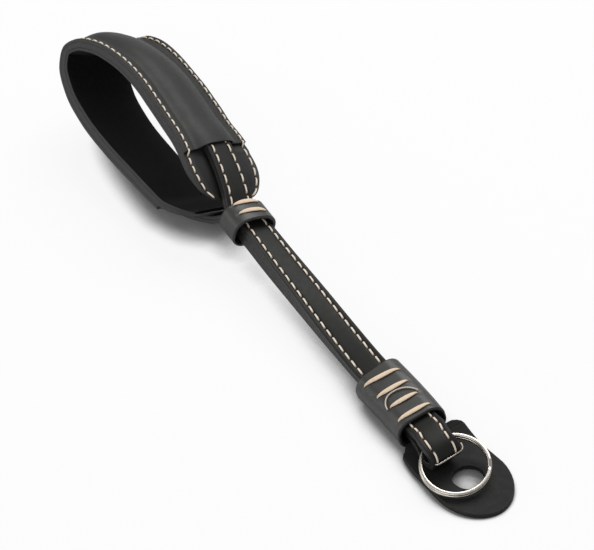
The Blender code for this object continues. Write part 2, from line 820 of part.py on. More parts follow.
# small wire clip round the nose of the fold
def nose_point(w, deg, lift):
    axis = side_of(NOSE_ROLL, Vector((1, 0, 0)))
    rise = Vector((1, 0, 0)).cross(axis)
    a = math.radians(deg)
    r = NOSE_R + BELT_TOP + lift
    return (Vector((NOSE_X, NOSE_Y, NOSE_Z)) + axis * w + Vector((1, 0, 0)) * (r * math.cos(a))
            + rise * (r * math.sin(a)))


clip = []
for w, deg, lift in ((-5.8, 52, -0.9), (-5.9, 40, -0.2), (-5.8, 24, 0.4), (-5.2, 12, 0.72), (-2.6, 8, 0.74),
                     (0.0, 8, 0.74), (2.6, 8, 0.74), (5.2, 12, 0.72), (5.8, 24, 0.4), (5.9, 40, -0.2),
                     (5.8, 52, -0.9)):
    clip.append(nose_point(w, deg, lift))
tube("fold_clip", clip, CLIP_R, 6)


# slack strand over the third sleeve stitch
def on_sleeve(w, x, lift):
    p, side, out, along = frame_on(sleeve_frames, x)
    over = max(abs(w) - 4.3, 0.0)
    fall = 4.3 - math.sqrt(4.3 ** 2 - over ** 2)
    return p + side * w + out * (SLEEVE_IN[1] + SLEEVE_WALL - SLEEVE_DROP + lift - fall)


strand = [on_sleeve(w, x, lift) for w, x, lift in
          ((-6.9, -34.4, 0.35), (-6.3, -35.9, 0.5), (-5.2, -37.0, 0.6), (-3.6, -37.6, 0.6), (-1.4, -37.4, 0.5),
           (1.0, -37.0, 0.45), (3.2, -36.3, 0.45), (5.0, -35.3, 0.4))]
tube("slack_strand", strand, 0.24, 6)


def settle():
    """Puts the middle of the strap's footprint at the origin and its lowest point at zero height."""
    shown = [ob for ob in bpy.context.scene.objects if not ob.hide_render]
    low = [min(v.co[i] for ob in shown for v in ob.data.vertices) for i in range(3)]
    high = [max(v.co[i] for ob in shown for v in ob.data.vertices) for i in range(3)]
    move = Vector((-(low[0] + high[0]) / 2, -(low[1] + high[1]) / 2, -low[2]))
    for ob in bpy.context.scene.objects:
        for v in ob.data.vertices:
            v.co += move
    return move


SETTLED = settle()
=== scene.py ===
import math

import bpy
from mathutils import Matrix, Vector


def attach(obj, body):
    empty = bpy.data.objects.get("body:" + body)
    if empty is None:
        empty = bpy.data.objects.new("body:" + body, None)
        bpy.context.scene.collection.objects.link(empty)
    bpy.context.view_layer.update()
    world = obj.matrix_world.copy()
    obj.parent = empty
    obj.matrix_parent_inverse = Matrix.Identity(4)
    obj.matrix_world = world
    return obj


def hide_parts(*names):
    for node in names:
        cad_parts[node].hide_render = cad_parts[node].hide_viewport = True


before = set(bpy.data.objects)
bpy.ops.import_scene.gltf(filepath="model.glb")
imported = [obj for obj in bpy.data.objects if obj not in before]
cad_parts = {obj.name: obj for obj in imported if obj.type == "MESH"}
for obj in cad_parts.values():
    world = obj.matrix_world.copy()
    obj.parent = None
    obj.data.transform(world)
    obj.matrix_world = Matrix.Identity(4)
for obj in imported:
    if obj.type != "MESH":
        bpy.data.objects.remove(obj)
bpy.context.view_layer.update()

MM = 0.001

# where the strap's own drawing lies in the frame
REST_TILT = math.radians(4.84)
SHIFT = Vector((104.591, -5.225, 3.229))
REST = Matrix.Rotation(REST_TILT, 4, "Y")

# camera, as worked out from the photograph
CAMERA_AT = Vector((0.7973, -0.4902, 0.8504))
CAMERA_AZIMUTH = math.radians(58.27)
CAMERA_ELEVATION = math.radians(42.0)
CAMERA_ROLL = math.radians(-3.66)
CAMERA_LENS = 237.3
CAMERA_SENSOR = 36.0

# belt
BELT_HALF = 5.25
PLY = 1.30
PLY_GAP = 0.08
BELT_TOP = PLY + PLY_GAP / 2
BELT_ROW = 3.38
BELT_STITCH = 3.8
RUN_PITCH = 3.02
SEAM_R = 0.31
# painted shade: cut edges are coloured darker from here towards the ring, where the belt folds, measured in
# the frame
FOLD_FROM = 76.0
FOLD_SPAN = 10.0

# wrist pad
PAD_HALF = 14.0
PAD_ROW = 12.45
PAD_STITCH = 3.25
FLANGE_TOP = -0.20
COVER_FLOOR = -1.45
BASE_TOP = -1.60
BASE_FLOOR = -3.25
LINING_T = 1.05
LINING_SHORT = 3.4
HUMP_HALF = 8.3
HUMP_TOP = 2.6
MOUTH_X = -153.0
MOUTH_HOLE = 1.3
TONGUE = 18.5
TONGUE_TIP = 5.6

# wrist loop in its leaning plane: distance along, height, sideways offset, roll
LEAN = math.radians(30.8)
LOOP = ((133.0, 4.55, 3.35, -18.6), (138.5, 8.1, 3.2, -20.5), (144.0, 11.1, 3.1, -22),
        (150.0, 13.5, 3.1, -24.5), (158.0, 15.75, 3.1, -28), (167.0, 17.0, 3.1, -30.3),
        (175.5, 18.35, 3.1, -30.6), (184.5, 19.65, 3.1, -30.8), (200.0, 19.35, 3.1, -30.8),
        (212.5, 16.2, 3.1, -30.8), (220.0, 11.8, 3.1, -30.8), (223.4, 6.4, 3.1, -30.8),
        (221.3, 0.2, 3.1, -30.8), (213.3, -5.6, 3.1, -30.8), (200.5, -9.3, 3.1, -30.8),
        (184.5, -10.7, 3.1, -30.8), (167.0, -10.6, 3.1, -30.3), (158.0, -9.9, 3.1, -28),
        (151.0, -8.6, 3.1, -24.5), (144.0, -5.7, 3.1, -22), (138.5, -2.7, 3.2, -20.5),
        (133.0, 0.95, 3.35, -18.6))

# straight of the strap, upper run: x, y, z, roll, distance to the lower run
STRAIGHT = ((-13.4, -3.2, 7.9, 6.5, 6.6), (-16.6, -2.7, 7.3, 7.5, 6.0), (-19.6, -2.2, 6.1, 9, 4.7),
            (-23.0, -1.7, 4.9, 11, 3.4), (-28.0, -1.1, 4.1, 13, 3.02), (-38.0, -0.5, 3.2, 15, 3.02),
            (-50.0, -0.2, 2.3, 15.5, 3.02), (-69.0, 1.0, 1.7, 10, 3.02), (-89.0, 2.5, 1.6, -1, 3.02),
            (-109.0, 3.9, 1.6, -11, 3.02), (-121.0, 4.9, 1.62, -15.5, 3.02),
            (-127.5, 5.3, 1.75, -17.5, 3.1))
NOSE = Vector((-10.9, -3.5, 4.6))
NOSE_R = 3.3
NOSE_ROLL = 6.5
JOIN_X = -44.0
JOIN_ROLL = 15.2
JOIN_SLIT = 0.4
FORK_X = -24.5
# between these the two runs lie close on each other
CLOSE_X = (-127.0, -26.0)

# keeper and sleeve
KEEPER_X = (-122.9, -132.1)
KEEPER_IN = (6.75, 4.65)
KEEPER_WALL = 1.3
KEEPER_ROUND = 5.3
KEEPER_AIM = -107.0
KEEPER_ROLL = -16.3
KEEPER_LIFT = 0.75
KEEPER_ASIDE = -0.6
SLEEVE_X = (-22.2, -48.7)
SLEEVE_IN = (7.1, 4.3)
SLEEVE_WALL = 1.4
SLEEVE_ROUND = 5.0
SLEEVE_DROP = 0.75
# thick stitches: place, how far the right and left ends stay from the edge, skew
KEEPER_STITCHES = ((-131.0, 0.27, 0.28, -0.3), (-126.6, 0.25, 0.27, -0.5))
SLEEVE_STITCHES = ((-43.9, 0.22, 0.21, -1.4), (-37.6, 0.26, 0.23, -0.8), (-31.2, 0.28, 0.27, -0.5),
                   (-24.9, 0.24, 0.22, -0.3))
CORD_R = 0.72
STRAND_R = 0.24
# how deep the leather is drawn in where a thick stitch goes down
PINCH = 0.3

# protector tab: its neck lies aside by TAB_SWAY, its near edge bulges by TAB_WAIST and turns in by TAB_TUCK
TAB_SWAY = 1.1
TAB_SHOULDER = 1.0
TAB_WAIST = 1.35
TAB_TUCK = 1.0

# split ring
RING_OUT = 11.15
RING_WIRE = 1.22
RING_TURN = 1.0
RING_GAP = 0.08
RING_CENTRE = Vector((-3.55, -2.4, 3.35))
RING_PITCH = math.radians(7.5)
RING_ROLL = 6.5
RING_STEP_AT = 58.0
# in degrees: what the two turns lack at their ends, where the step begins, and its length
RING_SHORT = 14.0
RING_STEP_FROM = 339.0
RING_STEP_SPAN = 22.0
CLIP_R = 0.26


# measuring along the strap

def placed(p):
    """A point of the strap's own drawing in the frame, in metres."""
    return (REST @ Vector(p) + SHIFT) * MM


def smooth(t):
    t = min(max(t, 0.0), 1.0)
    return t * t * (3 - 2 * t)


def loop_point(a, v, off):
    return Vector((-a, math.sin(LEAN) * v + math.cos(LEAN) * off,
                   math.cos(LEAN) * v - math.sin(LEAN) * off))


def side_of(roll, along):
    r = math.radians(roll)
    w = Vector((0.0, math.cos(r), math.sin(r)))
    return (w - along * w.dot(along)).normalized()


class Path:
    """A smooth line through control points, each with a roll; answers by distance along it."""

    def __init__(self, points):
        pts = [Vector(p[:3]) for p in points]
        rolls = [p[3] for p in points]
        n = len(pts)
        gaps = [max((pts[i + 1] - pts[i]).length, 1e-6) for i in range(n - 1)]

        def slope(vals, i):
            if i == 0:
                return (vals[1] - vals[0]) * (1.0 / gaps[0])
            if i == n - 1:
                return (vals[-1] - vals[-2]) * (1.0 / gaps[-1])
            a, b = gaps[i - 1], gaps[i]
            left = (vals[i] - vals[i - 1]) * (1.0 / a)
            right = (vals[i + 1] - vals[i]) * (1.0 / b)
            return left * (b / (a + b)) + right * (a / (a + b))

        self.pos = []
        self.roll = []
        for i in range(n - 1):
            g = gaps[i]
            m0, m1 = slope(pts, i) * g, slope(pts, i + 1) * g
            q0, q1 = slope(rolls, i) * g, slope(rolls, i + 1) * g
            for k in range(16):
                t = k / 16.0
                h0 = 2 * t ** 3 - 3 * t ** 2 + 1
                h1 = t ** 3 - 2 * t ** 2 + t
                h2 = -2 * t ** 3 + 3 * t ** 2
                h3 = t ** 3 - t ** 2
                self.pos.append(pts[i] * h0 + m0 * h1 + pts[i + 1] * h2 + m1 * h3)
                self.roll.append(rolls[i] * h0 + q0 * h1 + rolls[i + 1] * h2 + q1 * h3)
        self.pos.append(pts[-1])
        self.roll.append(rolls[-1])
        self.at = [0.0]
        for i in range(1, len(self.pos)):
            self.at.append(self.at[-1] + (self.pos[i] - self.pos[i - 1]).length)
        last = len(self.pos) - 1
        self.tan = [(self.pos[min(i + 1, last)] - self.pos[max(i - 1, 0)]).normalized()
                    for i in range(last + 1)]
        self.length = self.at[-1]

    def frame(self, s):
        s = min(max(s, 0.0), self.length)
        lo, hi = 0, len(self.at) - 1
        while hi - lo > 1:
            mid = (lo + hi) // 2
            if self.at[mid] <= s:
                lo = mid
            else:
                hi = mid
        t = (s - self.at[lo]) / max(self.at[hi] - self.at[lo], 1e-9)
        p = self.pos[lo].lerp(self.pos[hi], t)
        along = self.tan[lo].lerp(self.tan[hi], t).normalized()
        w = side_of(self.roll[lo] * (1 - t) + self.roll[hi] * t, along)
        return p, w, w.cross(along), along

    def point(self, s, w, n):
        p, side, out, along = self.frame(s)
        return p + side * w + out * n

    def find_x(self, x, s0, s1):
        """Distance along, between s0 and s1, at which the line reaches x."""
        tries = [s0 + (s1 - s0) * i / 400.0 for i in range(401)]
        return min(tries, key=lambda s: abs(self.frame(s)[0].x - x))


def build_belt_line():
    upper = []
    lower = []
    for x, y, z, roll, apart in STRAIGHT:
        r = math.radians(roll)
        upper.append((x, y, z, roll))
        lower.append((x, y + apart * math.sin(r), z - apart * math.cos(r), roll))
    axis = side_of(NOSE_ROLL, Vector((1, 0, 0)))
    rise = Vector((1, 0, 0)).cross(axis)
    nose = []
    for deg in range(-90, 91, 30):
        a = math.radians(deg)
        q = NOSE + Vector((NOSE_R * math.cos(a), 0, 0)) + rise * (NOSE_R * math.sin(a))
        nose.append(tuple(q) + (NOSE_ROLL,))
    wall = NOSE + Vector((STRAIGHT[0][0] - NOSE.x, 0.3, 0))
    upper[0] = tuple(wall + rise * NOSE_R) + (NOSE_ROLL,)
    lower[0] = tuple(wall - rise * NOSE_R) + (NOSE_ROLL,)
    loop = [tuple(loop_point(a, v, off)) + (roll,) for a, v, off, roll in LOOP]
    low_path = Path(lower)
    join = low_path.frame(low_path.find_x(JOIN_X, 0, low_path.length))[0]
    line = [tuple(join) + (JOIN_ROLL,)]
    line += [q for q in reversed(lower) if q[0] > JOIN_X]
    line += nose + upper + loop
    line += [q for q in reversed(lower) if q[0] < JOIN_X - 0.5]
    line += [tuple(join + Vector((-JOIN_SLIT, 0, 0))) + (JOIN_ROLL,)]
    return Path(line)


BELT = build_belt_line()
S_NOSE = max(zip([q.x for q in BELT.pos], BELT.at))[1]
S_END = min(zip([q.x for q in BELT.pos], BELT.at))[1]
S_MOUTH_UP = BELT.find_x(MOUTH_X, S_NOSE, S_END)
S_MOUTH_LOW = BELT.find_x(MOUTH_X, S_END, BELT.length)
S_TIP_UP = S_MOUTH_UP - TONGUE
S_TIP_LOW = S_MOUTH_LOW + TONGUE


def upper_s(x):
    return BELT.find_x(x, S_NOSE, S_END)


def lower_s(x):
    return BELT.find_x(x, S_END, BELT.length)


def spaced(s0, s1, step):
    """Even places from s0 to s1, about one step apart."""
    count = max(int(round((s1 - s0) / step)), 1)
    return [s0 + (s1 - s0) * i / count for i in range(count + 1)]


# meshes

def make_object(name, verts, faces, materials, slots=None, loose=False):
    """A smooth mesh object from points in the strap's own drawing, faces turned outwards."""
    mesh = bpy.data.meshes.new(name)
    mesh.from_pydata([placed(v) for v in verts], [], faces)
    for m in materials:
        mesh.materials.append(m)
    if slots:
        mesh.polygons.foreach_set("material_index", slots)
    mesh.polygons.foreach_set("use_smooth", [True] * len(mesh.polygons))
    mesh.update()
    volume = 0.0
    mesh.calc_loop_triangles()
    for tri in mesh.loop_triangles:
        a, b, c = (mesh.vertices[i].co for i in tri.vertices)
        volume += a.dot(b.cross(c))
    if volume < 0 and not loose:
        mesh.flip_normals()
    ob = bpy.data.objects.new(name, mesh)
    bpy.context.scene.collection.objects.link(ob)
    return ob


def skin(rings, faces, first=0, slot_of=None, slots=None, caps=True, cap_slot=0):
    """Adds quads between rings of equal size, and a fan on each end."""
    n = len(rings[0])
    for i in range(len(rings) - 1):
        for k in range(n):
            a = first + i * n + k
            b = first + i * n + (k + 1) % n
            faces.append((a, b, b + n, a + n))
            if slots is not None:
                slots.append(slot_of(k) if slot_of else 0)
    if caps:
        last = first + (len(rings) - 1) * n
        faces.append(tuple(reversed(range(first, first + n))))
        faces.append(tuple(range(last, last + n)))
        if slots is not None:
            slots += [cap_slot, cap_slot]


def swept(name, stations, section, materials, slot_of=None, cap_slot=0, move=None):
    rings = []
    for s in stations:
        if move:
            rings.append([BELT.point(move(s, w), w, h) for w, h in section(s)])
            continue
        p, side, out, along = BELT.frame(s)
        rings.append([p + side * w + out * h for w, h in section(s)])
    faces = []
    slots = []
    skin(rings, faces, 0, slot_of, slots, True, cap_slot)
    return make_object(name, [p for r in rings for p in r], faces, materials, slots)


def tube_rings(points, radius, sides, flat=1.0, ups=None, fat=None, twist=0.0, lobes=0.0):
    rings = []
    last = len(points) - 1
    for i, p in enumerate(points):
        t = (points[min(i + 1, last)] - points[max(i - 1, 0)]).normalized()
        ref = ups[i] if ups else Vector((0, 0, 1))
        n = (ref - t * ref.dot(t)).normalized()
        w = t.cross(n)
        r = radius * (fat[i] if fat else 1.0)
        ring = []
        for k in range(sides):
            a = 2 * math.pi * k / sides
            q = r * (1.0 + lobes * math.cos(3 * (a - twist * i)))
            ring.append(p + w * (q * math.cos(a)) + n * (q * flat * math.sin(a)))
        rings.append(ring)
    return rings


def through(points, per_span):
    """A smooth curve through a few 2D or 3D points."""
    pts = [Vector(p) for p in points]
    out = []
    for i in range(len(pts) - 1):
        a, b, c, d = pts[max(i - 1, 0)], pts[i], pts[i + 1], pts[min(i + 2, len(pts) - 1)]
        for k in range(per_span):
            t = k / per_span
            out.append(0.5 * ((2 * b) + (c - a) * t + (2 * a - 5 * b + 4 * c - d) * t ** 2
                              + (3 * b - a - 3 * c + d) * t ** 3))
    out.append(pts[-1])
    return out


def corner(cx, cy, r, start, end, sides=4):
    """Points of a rounded corner, angles in degrees."""
    out = []
    for k in range(sides + 1):
        a = math.radians(start + (end - start) * k / sides)
        out.append((cx + r * math.cos(a), cy + r * math.sin(a)))
    return out


def mirrored(right):
    """A whole section from its right half."""
    return right + [(-w, h) for w, h in reversed(right)]


# materials

class Shader:
    """A node material with the few building blocks that these surfaces share."""

    def __init__(self, name):
        self.material = bpy.data.materials.new(name)
        self.material.use_nodes = True
        self.tree = self.material.node_tree
        self.bsdf = self.tree.nodes["Principled BSDF"]
        self.where = self.add("ShaderNodeTexCoord").outputs["Object"]

    def add(self, kind, **values):
        node = self.tree.nodes.new(kind)
        for key, value in values.items():
            if key in node.inputs:
                node.inputs[key].default_value = value
            else:
                setattr(node, key, value)
        return node

    def link(self, a, b):
        self.tree.links.new(a, b)

    def noise(self, per_mm, detail=3.0, roughness=0.55):
        node = self.add("ShaderNodeTexNoise", Scale=per_mm / MM, Detail=detail, Roughness=roughness)
        self.link(self.where, node.inputs["Vector"])
        return node.outputs["Fac"]

    def cells(self, per_mm, feature="DISTANCE_TO_EDGE"):
        node = self.add("ShaderNodeTexVoronoi", feature=feature, Scale=per_mm / MM)
        bend = self.add("ShaderNodeTexNoise", Scale=per_mm * 0.7 / MM, Detail=2.0)
        self.link(self.where, bend.inputs["Vector"])
        mix = self.add("ShaderNodeMix", data_type="VECTOR")
        mix.inputs["Factor"].default_value = 0.0004
        self.link(self.where, mix.inputs[4])
        self.link(bend.outputs["Color"], mix.inputs[5])
        self.link(mix.outputs[1], node.inputs["Vector"])
        return node.outputs["Distance"]

    def ramp(self, source, stops):
        node = self.add("ShaderNodeValToRGB")
        ends = node.color_ramp.elements
        while len(ends) < len(stops):
            ends.new(0.5)
        for end, (at, colour) in zip(ends, stops):
            end.position = at
            end.color = colour if len(colour) == 4 else (*colour, 1.0)
        self.link(source, node.inputs["Fac"])
        return node.outputs["Color"]

    def range(self, source, low, high):
        node = self.add("ShaderNodeMapRange")
        node.inputs["To Min"].default_value = low
        node.inputs["To Max"].default_value = high
        self.link(source, node.inputs["Value"])
        return node.outputs["Result"]

    def mix(self, factor, a, b):
        node = self.add("ShaderNodeMix", data_type="RGBA")
        for socket, value in ((0, factor), (6, a), (7, b)):
            if isinstance(value, (tuple, float)):
                node.inputs[socket].default_value = value if isinstance(value, float) else (*value, 1.0)
            else:
                self.link(value, node.inputs[socket])
        return node.outputs[2]

    def bump(self, source, strength, depth_mm, before=None):
        node = self.add("ShaderNodeBump", Strength=strength, Distance=depth_mm * MM)
        self.link(source, node.inputs["Height"])
        if before is not None:
            self.link(before, node.inputs["Normal"])
        return node.outputs["Normal"]


def leather(name, dark, light, rough, grain, wrinkle, specular, flecks=2.6):
    """Dyed leather: pores, soft wrinkles, a slow change of colour and gloss, and painted shade, darker
    where a mesh marks a shaded recess.
    """
    s = Shader(name)
    slow = s.noise(0.12, 4.0)
    fine = s.noise(flecks, 4.0)
    pores = s.cells(1.7)
    tone = s.ramp(slow, ((0.3, dark), (0.72, light)))
    dye = s.mix(s.range(fine, 0.0, 0.35), tone, tuple(c * 1.5 for c in light))
    # painted shade: where the mesh marks it, the colour goes towards a quarter of the dark tone
    painted_shade = s.add("ShaderNodeAttribute", attribute_name="painted_shade")
    s.link(s.mix(painted_shade.outputs["Fac"], dye, tuple(c * 0.25 for c in dark)), s.bsdf.inputs["Base Color"])
    s.link(s.range(s.noise(0.5, 5.0), rough[0], rough[1]), s.bsdf.inputs["Roughness"])
    s.bsdf.inputs["Specular IOR Level"].default_value = specular
    normal = s.bump(pores, grain, 0.05)
    normal = s.bump(fine, grain * 0.6, 0.04, normal)
    normal = s.bump(s.noise(0.45, 2.0), wrinkle, 0.10, normal)
    s.link(normal, s.bsdf.inputs["Normal"])
    return s.material


def napped(name, dark, light):
    """Matte lining: short nap, almost no gloss."""
    s = Shader(name)
    nap = s.noise(4.5, 6.0, 0.7)
    s.link(s.ramp(s.noise(0.8, 6.0, 0.75), ((0.36, dark), (0.68, light))), s.bsdf.inputs["Base Color"])
    s.bsdf.inputs["Roughness"].default_value = 0.95
    s.bsdf.inputs["Specular IOR Level"].default_value = 0.08
    s.bsdf.inputs["Sheen Weight"].default_value = 0.04
    s.link(s.bump(nap, 0.6, 0.10), s.bsdf.inputs["Normal"])
    return s.material


def painted_edge(name, dark, light):
    """The sealed edge of cut leather, a little uneven, with painted shade making it darker where the belt
    folds round the ring.
    """
    s = Shader(name)
    paint = s.ramp(s.noise(0.9, 5.0, 0.6), ((0.32, dark), (0.7, light)))
    place = s.add("ShaderNodeSeparateXYZ")
    s.link(s.where, place.inputs[0])
    # painted shade: the colour darkens along x towards the belt's fold at the ring
    fold_shade = s.add("ShaderNodeMapRange")
    fold_shade.inputs["From Min"].default_value = FOLD_FROM * MM
    fold_shade.inputs["From Max"].default_value = (FOLD_FROM + FOLD_SPAN) * MM
    s.link(place.outputs["X"], fold_shade.inputs["Value"])
    s.link(s.mix(fold_shade.outputs["Result"], paint, tuple(c * 0.35 for c in dark)), s.bsdf.inputs["Base Color"])
    s.link(s.range(s.noise(1.6, 3.0), 0.38, 0.62), s.bsdf.inputs["Roughness"])
    s.link(s.bump(s.noise(1.4, 4.0), 0.15, 0.06), s.bsdf.inputs["Normal"])
    return s.material


def thread(name, pale, hole_shade_colour, per_mm):
    """Waxed thread: painted shade, a brown, where it enters the leather, fibres across its surface."""
    s = Shader(name)
    # painted shade: the colour goes to the brown where the sunk attribute marks the thread going into its
    # hole
    sunk = s.add("ShaderNodeAttribute", attribute_name="sunk")
    shade = tuple(c * 0.78 for c in pale)
    fibres = s.ramp(s.noise(per_mm, 5.0, 0.7), ((0.35, shade), (0.62, pale)))
    s.link(s.mix(sunk.outputs["Fac"], fibres, hole_shade_colour), s.bsdf.inputs["Base Color"])
    s.bsdf.inputs["Roughness"].default_value = 0.72
    s.bsdf.inputs["Specular IOR Level"].default_value = 0.3
    s.link(s.bump(s.noise(per_mm * 1.4, 4.0), 0.5, 0.06), s.bsdf.inputs["Normal"])
    return s.material


def polished(name, colour, rough):
    """Plated steel wire with faint rubbed marks."""
    s = Shader(name)
    darker = tuple(c * 0.86 for c in colour)
    s.link(s.ramp(s.noise(0.8, 6.0, 0.6), ((0.3, darker), (0.6, colour))), s.bsdf.inputs["Base Color"])
    s.bsdf.inputs["Metallic"].default_value = 1.0
    s.link(s.range(s.noise(2.2, 6.0, 0.7), rough, rough + 0.14), s.bsdf.inputs["Roughness"])
    s.link(s.bump(s.noise(3.0, 5.0), 0.12, 0.02), s.bsdf.inputs["Normal"])
    return s.material


BELT_LEATHER = leather("belt_leather", (0.0066, 0.0065, 0.0057), (0.0112, 0.0109, 0.0097), (0.48, 0.64),
                       0.35, 0.30, 0.27)
PAD_LEATHER = leather("pad_leather", (0.0120, 0.0120, 0.0112), (0.0210, 0.0210, 0.0196), (0.47, 0.62),
                      0.35, 0.30, 0.36)
# painted highlight: this leather is coloured lighter than the belt's to stand in for the broad highlight on
# the keeper's and sleeve's tops
TUBE_LEATHER = leather("tube_leather", (0.0205, 0.0205, 0.0190), (0.0370, 0.0370, 0.0345), (0.38, 0.52),
                       0.40, 0.40, 0.55)
TAB_LEATHER = leather("tab_leather", (0.0070, 0.0070, 0.0064), (0.0120, 0.0120, 0.0112), (0.60, 0.78),
                      0.90, 0.60, 0.28, 1.1)
LINING = napped("lining", (0.0009, 0.0009, 0.0008), (0.0056, 0.0056, 0.0050))
EDGE_PAINT = painted_edge("edge_paint", (0.0135, 0.0135, 0.0125), (0.022, 0.022, 0.0205))
TAB_EDGE = painted_edge("tab_edge", (0.062, 0.062, 0.059), (0.062, 0.062, 0.059))
SEAM_THREAD = thread("seam_thread", (0.93, 0.84, 0.71), (0.16, 0.08, 0.035), 3.0)
CORD_THREAD = thread("cord_thread", (0.90, 0.71, 0.53), (0.24, 0.12, 0.05), 2.2)
STRAND_THREAD = thread("strand_thread", (0.68, 0.61, 0.52), (0.26, 0.14, 0.06), 2.2)
RING_STEEL = polished("ring_steel", (0.67, 0.625, 0.56), 0.17)


def belong(piece, body, slot, *nodes):
    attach(piece, body)
    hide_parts(*nodes)
    return piece


# belt
BELT_STEP = (BELT.length - 1.2) / int((BELT.length - 1.2) / BELT_STITCH)
BELT_FIRST = 0.6
HOLES_PER = 6


def at_hole(s, first, step):
    """1 at a stitch hole, 0 away from it."""
    away = abs((s - first) / step - round((s - first) / step)) * step
    return max(0.0, 1.0 - away / 0.55)


def groove(row, top, hole):
    """Part of a section that dips where a row of stitches pulls the leather down."""
    side = top - 0.20 - 0.10 * hole
    return [(row + 1.0, top), (row + 0.62, top - 0.05), (row + 0.34, side),
            (row, top - 0.26 - 0.34 * hole),
            (row - 0.34, side), (row - 0.62, top - 0.05), (row - 1.0, top)]


def outer_section(s):
    low = PLY_GAP / 2
    r = 0.36
    right = [(BELT_HALF - 0.04, low - 0.03), (BELT_HALF, low + 0.04)]
    right += corner(BELT_HALF - r, BELT_TOP - r, r, 0, 90)
    right += groove(BELT_ROW, BELT_TOP, at_hole(s, BELT_FIRST, BELT_STEP))
    right += [(1.4, BELT_TOP + 0.04), (0.5, BELT_TOP + 0.05)]
    return mirrored(right)


def doubled(s):
    """1 where the two runs lie on each other between keeper and sleeve, 0 where they part."""
    x = BELT.frame(s)[0].x
    return smooth((x - CLOSE_X[0]) / 6.0) * smooth((CLOSE_X[1] - x) / 4.0)


def inner_section(s):
    low = PLY_GAP / 2
    close = doubled(s)
    r = 0.36 - 0.28 * close
    under = BELT_TOP + 0.15 * close
    right = [(BELT_HALF - 0.04, 0.03 - low), (BELT_HALF, -low - 0.04)]
    right += corner(BELT_HALF - r, r - under, r, 0, -90)
    right += [(2.6, -under), (0.8, -under)]
    return mirrored(right)


def edge_slot(count, edge):
    """Material slot by place in a mirrored section: 1 on the first edge segments of either side."""
    return lambda k: 1 if k < edge or k >= count - 1 - edge else 0


belt_stations = [0.0] + spaced(BELT_FIRST, BELT.length - BELT_FIRST, BELT_STEP / HOLES_PER) + [BELT.length]
outer_belt = swept("belt_outer", belt_stations, outer_section, [BELT_LEATHER, EDGE_PAINT],
                   edge_slot(len(outer_section(0)), 4))
belong(outer_belt, "strap", "belt_leather", "belt_outer_ply")
inner_belt = swept("belt_inner", spaced(0.0, BELT.length, 1.0), inner_section, [BELT_LEATHER, EDGE_PAINT],
                   edge_slot(len(inner_section(0)), 4))
belong(inner_belt, "strap", "belt_leather", "belt_inner_ply")


# stitches
# one stitch: share of its span, lift above the leather, and how much painted shade it gets where it goes
# down into its hole
STITCH = ((0.00, -0.62, 1.0), (0.04, -0.36, 1.0), (0.10, -0.06, 0.55), (0.20, 0.12, 0.12),
          (0.35, 0.20, 0.0), (0.52, 0.22, 0.0), (0.68, 0.18, 0.0), (0.80, 0.08, 0.12),
          (0.88, -0.10, 0.55), (0.93, -0.38, 1.0), (0.96, -0.62, 1.0))
STITCH_LIFT = 0.36


def stitches(name, spans, row, thick, move=None, sides=8):
    """One short thread for each span (start, end), from hole to hole along the strap."""
    verts = []
    faces = []
    sunk = []
    for a, b in spans:
        points = []
        ups = []
        for u, lift, hole_shade in STITCH:
            s = a + (b - a) * u
            w, top = row(s)
            slant = (u - 0.48) * 0.22
            here = move(s, w) if move else s
            points.append(BELT.point(here, w + slant, top + lift * thick / STITCH_LIFT))
            ups.append(BELT.frame(here)[2])
            # painted shade: each ring's weight for the thread's brown at the hole
            sunk += [hole_shade] * sides
        fat = [0.75] + [1.0] * (len(points) - 2) + [0.75]
        rings = tube_rings(points, thick, sides, 0.82, ups, fat)
        skin(rings, faces, len(verts))
        verts += [p for r in rings for p in r]
    ob = make_object(name, verts, faces, [SEAM_THREAD])
    ob.data.attributes.new("sunk", "FLOAT", "POINT").data.foreach_set("value", sunk)
    return ob


SLEEVE_UP = (upper_s(SLEEVE_X[0]), upper_s(SLEEVE_X[1]))
SLEEVE_LOW = lower_s(SLEEVE_X[1])
SLEEVE_OUT = BELT.find_x(SLEEVE_X[0] - 0.8, 0.0, S_NOSE)


def belt_shown(s):
    """Where the belt isn't inside the sleeve or the pad's channel."""
    if s < SLEEVE_OUT or s > SLEEVE_LOW + 1 or S_NOSE - 9.0 < s < S_NOSE:
        return False
    if SLEEVE_UP[0] + 3 < s < SLEEVE_UP[1] - 4:
        return False
    return not S_MOUTH_UP + 6 < s < S_MOUTH_LOW - 6


def belt_place(sign):
    """Place of a belt row; on the back run the thread has sunk deeper."""
    return lambda s: (sign * BELT_ROW, BELT_TOP - (0.3 if s > S_END else 0.05))


belt_spans = []
for i in range(int((BELT.length - 1.2) / BELT_STITCH)):
    begin = BELT_FIRST + i * BELT_STEP
    if belt_shown(begin + 0.4 * BELT_STEP):
        belt_spans.append((begin, begin + BELT_STEP * 0.90))
for side_name, sign in (("near", -1), ("far", 1)):
    seam = stitches("belt_stitches_" + side_name, belt_spans, belt_place(sign), SEAM_R)
    belong(seam, "strap", "seam_thread", "belt_seam_" + side_name)


# wrist pad
def beyond(s):
    """How far s lies outside the cover, along the tongue of the base."""
    return max(S_MOUTH_UP - s, s - S_MOUTH_LOW, 0.0)


def base_half(s):
    t = beyond(s) / TONGUE
    if t <= 0.15:
        return PAD_HALF
    u = min((t - 0.15) / 0.85, 1.0)
    return TONGUE_TIP + (PAD_HALF - TONGUE_TIP) * math.sqrt(max(1 - u ** 2.2, 0.0))


def base_floor(s):
    return BASE_FLOOR + 0.85 * smooth((beyond(s) / TONGUE - 0.35) / 0.65)


def tongue_row(s):
    inset = PAD_HALF - PAD_ROW - 0.5 * smooth((beyond(s) / TONGUE - 0.5) / 0.4)
    return max(base_half(s) - inset, 5.7)


